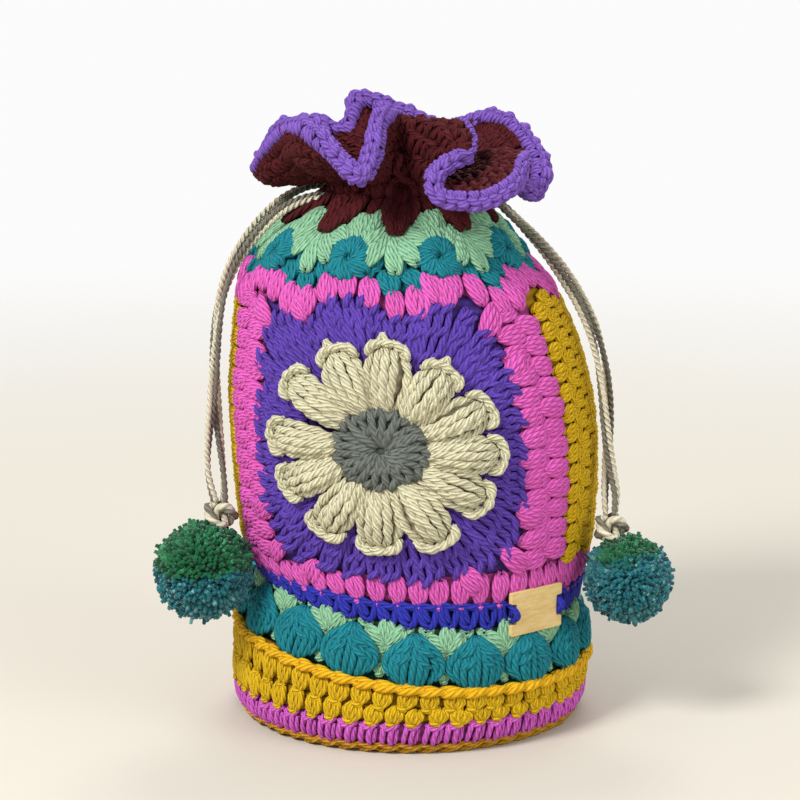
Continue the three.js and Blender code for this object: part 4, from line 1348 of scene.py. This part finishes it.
def rope(name, route, phase):
    """A cream rope and a grey one side by side, each of two plies, turning slowly about each other."""
    rope_turn, ply_turn, segment = 120.0, 5.0, 0.8
    steps = len(route) - 1
    line = smooth_line(route, np.linspace(0, steps, 40 * steps + 1))
    run = run_of(line)
    marks = np.linspace(0, run[-1], int(run[-1] / segment))
    line = xyz(*(np.interp(marks, run, line[:, k]) for k in range(3)))
    side, up = beside(line, [0.25, 1.0, 0.1])
    ease = np.clip(np.minimum(marks, run[-1] - marks) / 1.5, 0.35, 1)
    works = []
    for k in range(2):
        work = Work(xyz, 7 + k)
        turn = TURN * marks / rope_turn + phase + np.pi * k
        for ply in range(2):
            wind = TURN * marks / ply_turn + np.pi * ply
            across = 0.88 * np.cos(turn) + 0.5 * np.cos(wind)
            over = 0.88 * np.sin(turn) + 0.5 * np.sin(wind)
            work.trace(line + side * across[:, None] + up * over[:, None], 0.68 * ease)
        works.append(work)
    return cord_piece(name, works), line, run[-1]


def neck_rope(name, tier, start, end):
    level = CORD_RING_LEVEL + (tier - 0.5) * (CORD_DIAMETER + GAP)
    left, right, front = (along(REACH, column, CORD_RING_LEVEL) for column in (1, 2, 3))
    angles = np.radians(np.linspace(start, end, 25))
    x = (right - left) / 2 + ((left + right) / 2 - CORD_RING_INSET) * np.sin(angles)
    y = -(front - CORD_RING_INSET) * np.cos(angles)
    rope(name, xyz(x, y, level + 0 * angles), 0.0)


def knot_piece(name, centre):
    """A cord tied over itself."""
    radius = 4.4
    turn = np.linspace(0, TURN, 65)
    reach = radius * (2 + np.cos(3 * turn)) * 0.5
    x = 0.8 * reach * np.cos(2 * turn)
    y = -0.8 * reach * np.sin(2 * turn) * 0.95
    loop = xyz(x, y, radius * 0.5 * np.sin(3 * turn) * 1.5) + centre
    side, up = beside(loop, [0.3, 0.2, 1.0])
    works = []
    for k, thick in enumerate((1.3, 1.15)):
        wind = 4 * turn + np.pi * k
        work = Work(xyz, 17 + k)
        work.trace(loop + 0.75 * (side * np.cos(wind)[:, None] + up * np.sin(wind)[:, None]), thick)
        works.append(work)
    return cord_piece(name, works)


def pompom_yarn(name, centre_z, radius, green_from):
    """Green above and teal below, flecked with light ends."""
    n = Nodes(name)
    height = n.add("SeparateXYZ", Vector=n.position()).outputs[2]
    drift = n.math("MULTIPLY_ADD", n.noise(90), 0.02, -0.01)
    split = n.add("MapRange", {"clamp": True}, Value=n.math("ADD", height, drift))
    for socket, side in ((1, -0.06), (2, 0.06)):
        n.set(split.inputs[socket], (centre_z + radius * (green_from + side)) * MM)
    tone = n.tone()
    teal = n.ramp(tone, (0.0, "0C4A52"), (0.5, "166A74"), (0.85, "24888F"), (1.0, "7DBFB8"))
    green = n.ramp(tone, (0.0, "053F22"), (0.5, "085E30"), (0.85, "0F7C40"), (1.0, "48A872"))
    fibre = n.noise(1400)
    colour = n.mix(split.outputs[0], teal, green)
    shaded = n.mix(n.math("MULTIPLY", fibre, 0.4), colour, linear("063038"))
    return n.finish(shaded, fibre, 0.6, 0.0004, sheen=0.4)


def pompom_piece(name, centre, radius, green_from, seed):
    """Cut ends of yarn standing out all round from the tie in the middle."""
    work = Work(xyz, seed)
    tufts, inner = 2600, 0.62
    index = np.arange(tufts) + 0.5
    lift = 1 - 2 * index / tufts
    turn = index * np.pi * (1 + 5**0.5)
    flat = np.sqrt(1 - lift**2)
    ways = xyz(flat * np.cos(turn), flat * np.sin(turn), lift)
    ways = unit(ways + work.random.normal(0, 0.03, ways.shape))
    lumps = 0.035 * np.sin(11 * ways[:, 0] + 4) * np.sin(13 * ways[:, 1] + 1) * np.sin(12 * ways[:, 2])
    reach = radius * (0.955 + lumps + work.random.normal(0, 0.03, tufts))
    bend = work.random.normal(0, 0.1, (tufts, 3))
    t = np.array([inner, 0.84, 1.0])[:, None]
    for way, end, lean in zip(ways, reach, bend):
        work.trace(centre + (way + lean * (t - inner)) * end * t, np.array([0.85, 0.95, 0.7]))
    bm = bmesh.new()
    bmesh.ops.create_icosphere(bm, subdivisions=4, radius=radius * 0.8)
    core = core_mesh(bm, lambda x, y, z: xyz(x, y, z) + centre)
    finish = pompom_yarn(name + "_yarn", centre[2], radius, green_from)
    return add_piece(name, join(work.mesh(name, 0), core), [finish, finish], "tufts")


def cords_and_pompoms():
    neck_rope("cord_left_in_neck", 0, -77, 243)
    neck_rope("cord_right_in_neck", 1, 83, -237)
    knots = {name: knot_piece(name, np.array(centre)) for name, centre in KNOTS.items()}
    balls = {
        name: pompom_piece(name, np.array(centre), *settings)
        for name, (centre, *settings) in POMPOMS.items()
    }
    for name, phase in (("cord_left_front", 4.9), ("cord_left_back", 1.2),
                        ("cord_right_front", 0.4), ("cord_right_back", 3.4)):
        piece, line, length = rope(name, CORD_ROUTES[name], phase)


# Wooden tag

def tag_frame():
    """What turns millimetres across, up and out of the tag into places on the pouch."""
    level = (LEVELS["navy"] + LEVELS["lower_pink"]) / 2 + 0.75
    across = unit(wall(TAG_ANGLE + 0.05, level, 0) - wall(TAG_ANGLE - 0.05, level, 0))
    out = unit(np.cross(across, [0, 0, 1]))
    up = np.cross(out, across)
    seat = wall(TAG_ANGLE, level, 2 * GAP)
    outer = np.multiply.outer
    return lambda x, y, z: seat + outer(x, across) + outer(y, up) + outer(z, out)


def wood():
    n = Nodes("wood")
    stretched = n.add("Mapping", Vector=n.position(), Scale=(150, 150, 900))
    grain = n.add("TexNoise", Vector=stretched.outputs[0], Scale=1.0, Detail=4.0, Roughness=0.6).outputs[0]
    colour = n.ramp(grain, (0.25, "C9A862"), (0.5, "DDC082"), (0.8, "E6CE98"))
    flecked = n.mix(n.math("MULTIPLY", n.noise(700, 3.0), 0.25), colour, linear("B8935A"))
    return n.finish(flecked, grain, 0.15, 0.0003, sheen=0.0, roughness=0.55)


def tag_piece():
    place = tag_frame()
    width, height, thick = TAG_SIZE
    notch, tall = TAG_NOTCH
    w, h, k = width / 2, height / 2, tall / 2
    right_side = [(w, -h), (w, -k), (w - notch, -k), (w - notch, k), (w, k), (w, h)]
    outline = [(-w, -h)] + right_side + [(-x, y) for x, y in right_side[:0:-1]]
    bm = bmesh.new()
    face = bm.faces.new([bm.verts.new((x, y, 0)) for x, y in outline])
    extruded(bm, [face], thick)

    def bevel(edges, offset, segments):
        bmesh.ops.bevel(bm, geom=edges, offset=offset, segments=segments, profile=0.5, affect="EDGES",
                        material=-1)

    def rise(edge):
        return abs(edge.verts[0].co.z - edge.verts[1].co.z)

    bevel([e for e in bm.edges if rise(e) > thick / 2], 0.7, 3)
    bevel([e for e in bm.edges if rise(e) < 1e-6], 0.15, 2)
    bmesh.ops.triangulate(bm, faces=bm.faces)
    mesh = core_mesh(bm, place)
    add_piece("wood_tag", mesh, [wood()], "board")
    mesh.polygons.foreach_set("use_smooth", [False] * len(mesh.polygons))
    t = np.linspace(-1, 1, 9)
    for name, side in (("tag_tie_left", -1), ("tag_tie_right", 1)):
        work = Work(place, 130 + side)
        middle = side * (w - notch + 1.2)
        for turn in (-0.45, 0.45):
            across = middle + turn + side * 0.2 * t
            work.strand(across, t * (k - 1.0), 3.2 - 3.4 * t * t, 0.95 - 0.15 * t * t)
        add_piece(name, join(work.mesh(name)), [finishes["navy_yarn"]])


# Floor, lamps and backdrop

WORLD_LIGHT = 0.62
BACKDROP_LIGHT = 0.97


def stage():
    """A floor that fades away from the pouch."""
    bm = bmesh.new()
    bmesh.ops.create_grid(bm, x_segments=1, y_segments=1, size=12.0)
    mesh = as_mesh(bm, "floor")
    floor = new_object("floor", mesh)
    n = Nodes("floor_finish")
    n.set(n.shader.inputs["Base Color"], linear("D0CABD"))
    n.set(n.shader.inputs["Roughness"], 0.8)
    away = n.add("VectorMath", {"operation": "LENGTH"}, i0=n.position()).outputs["Value"]
    fade = n.add("MapRange", {"clamp": True, "interpolation_type": "SMOOTHSTEP"}, Value=away)
    for socket, value in zip(fade.inputs[1:5], (0.3, 1.1, 1.0, 0.0)):
        n.set(socket, value)
    n.set(n.shader.inputs["Alpha"], fade.outputs[0])
    mesh.materials.append(n.material)


def lamp(name, location, size, power):
    data = bpy.data.lights.new(name, "AREA")
    data.shape = "DISK"
    data.size = size
    data.energy = power
    lamp_object = new_object(name, data)
    lamp_object.location = location
    aim_at(lamp_object, (0, 0, 0.11))


def light():
    """A pale world, brighter where the camera sees it, and three lamps."""
    world = bpy.data.worlds.new("studio")
    bpy.context.scene.world = world
    world.use_nodes = True
    tree = world.node_tree
    background = tree.nodes["Background"]
    background.inputs[0].default_value = (1, 1, 1, 1)
    path = tree.nodes.new("ShaderNodeLightPath")
    level = tree.nodes.new("ShaderNodeMix")
    level.inputs[2].default_value = WORLD_LIGHT
    level.inputs[3].default_value = BACKDROP_LIGHT
    tree.links.new(path.outputs["Is Camera Ray"], level.inputs[0])
    tree.links.new(level.outputs[0], background.inputs[1])
    lamp("key", (-0.9, -1.0, 1.3), 0.6, 28)
    lamp("fill", (1.2, -0.9, 0.8), 1.0, 8)
    lamp("back", (0.2, 1.2, 1.2), 0.9, 8)


base_rounds()
puff_round()
mint_leaves()
body_rounds()
upper_rounds()
collar_piece()
edging_piece()
cords_and_pompoms()
tag_piece()
stage()
light()
bpy.context.scene.view_settings.view_transform = "Standard"
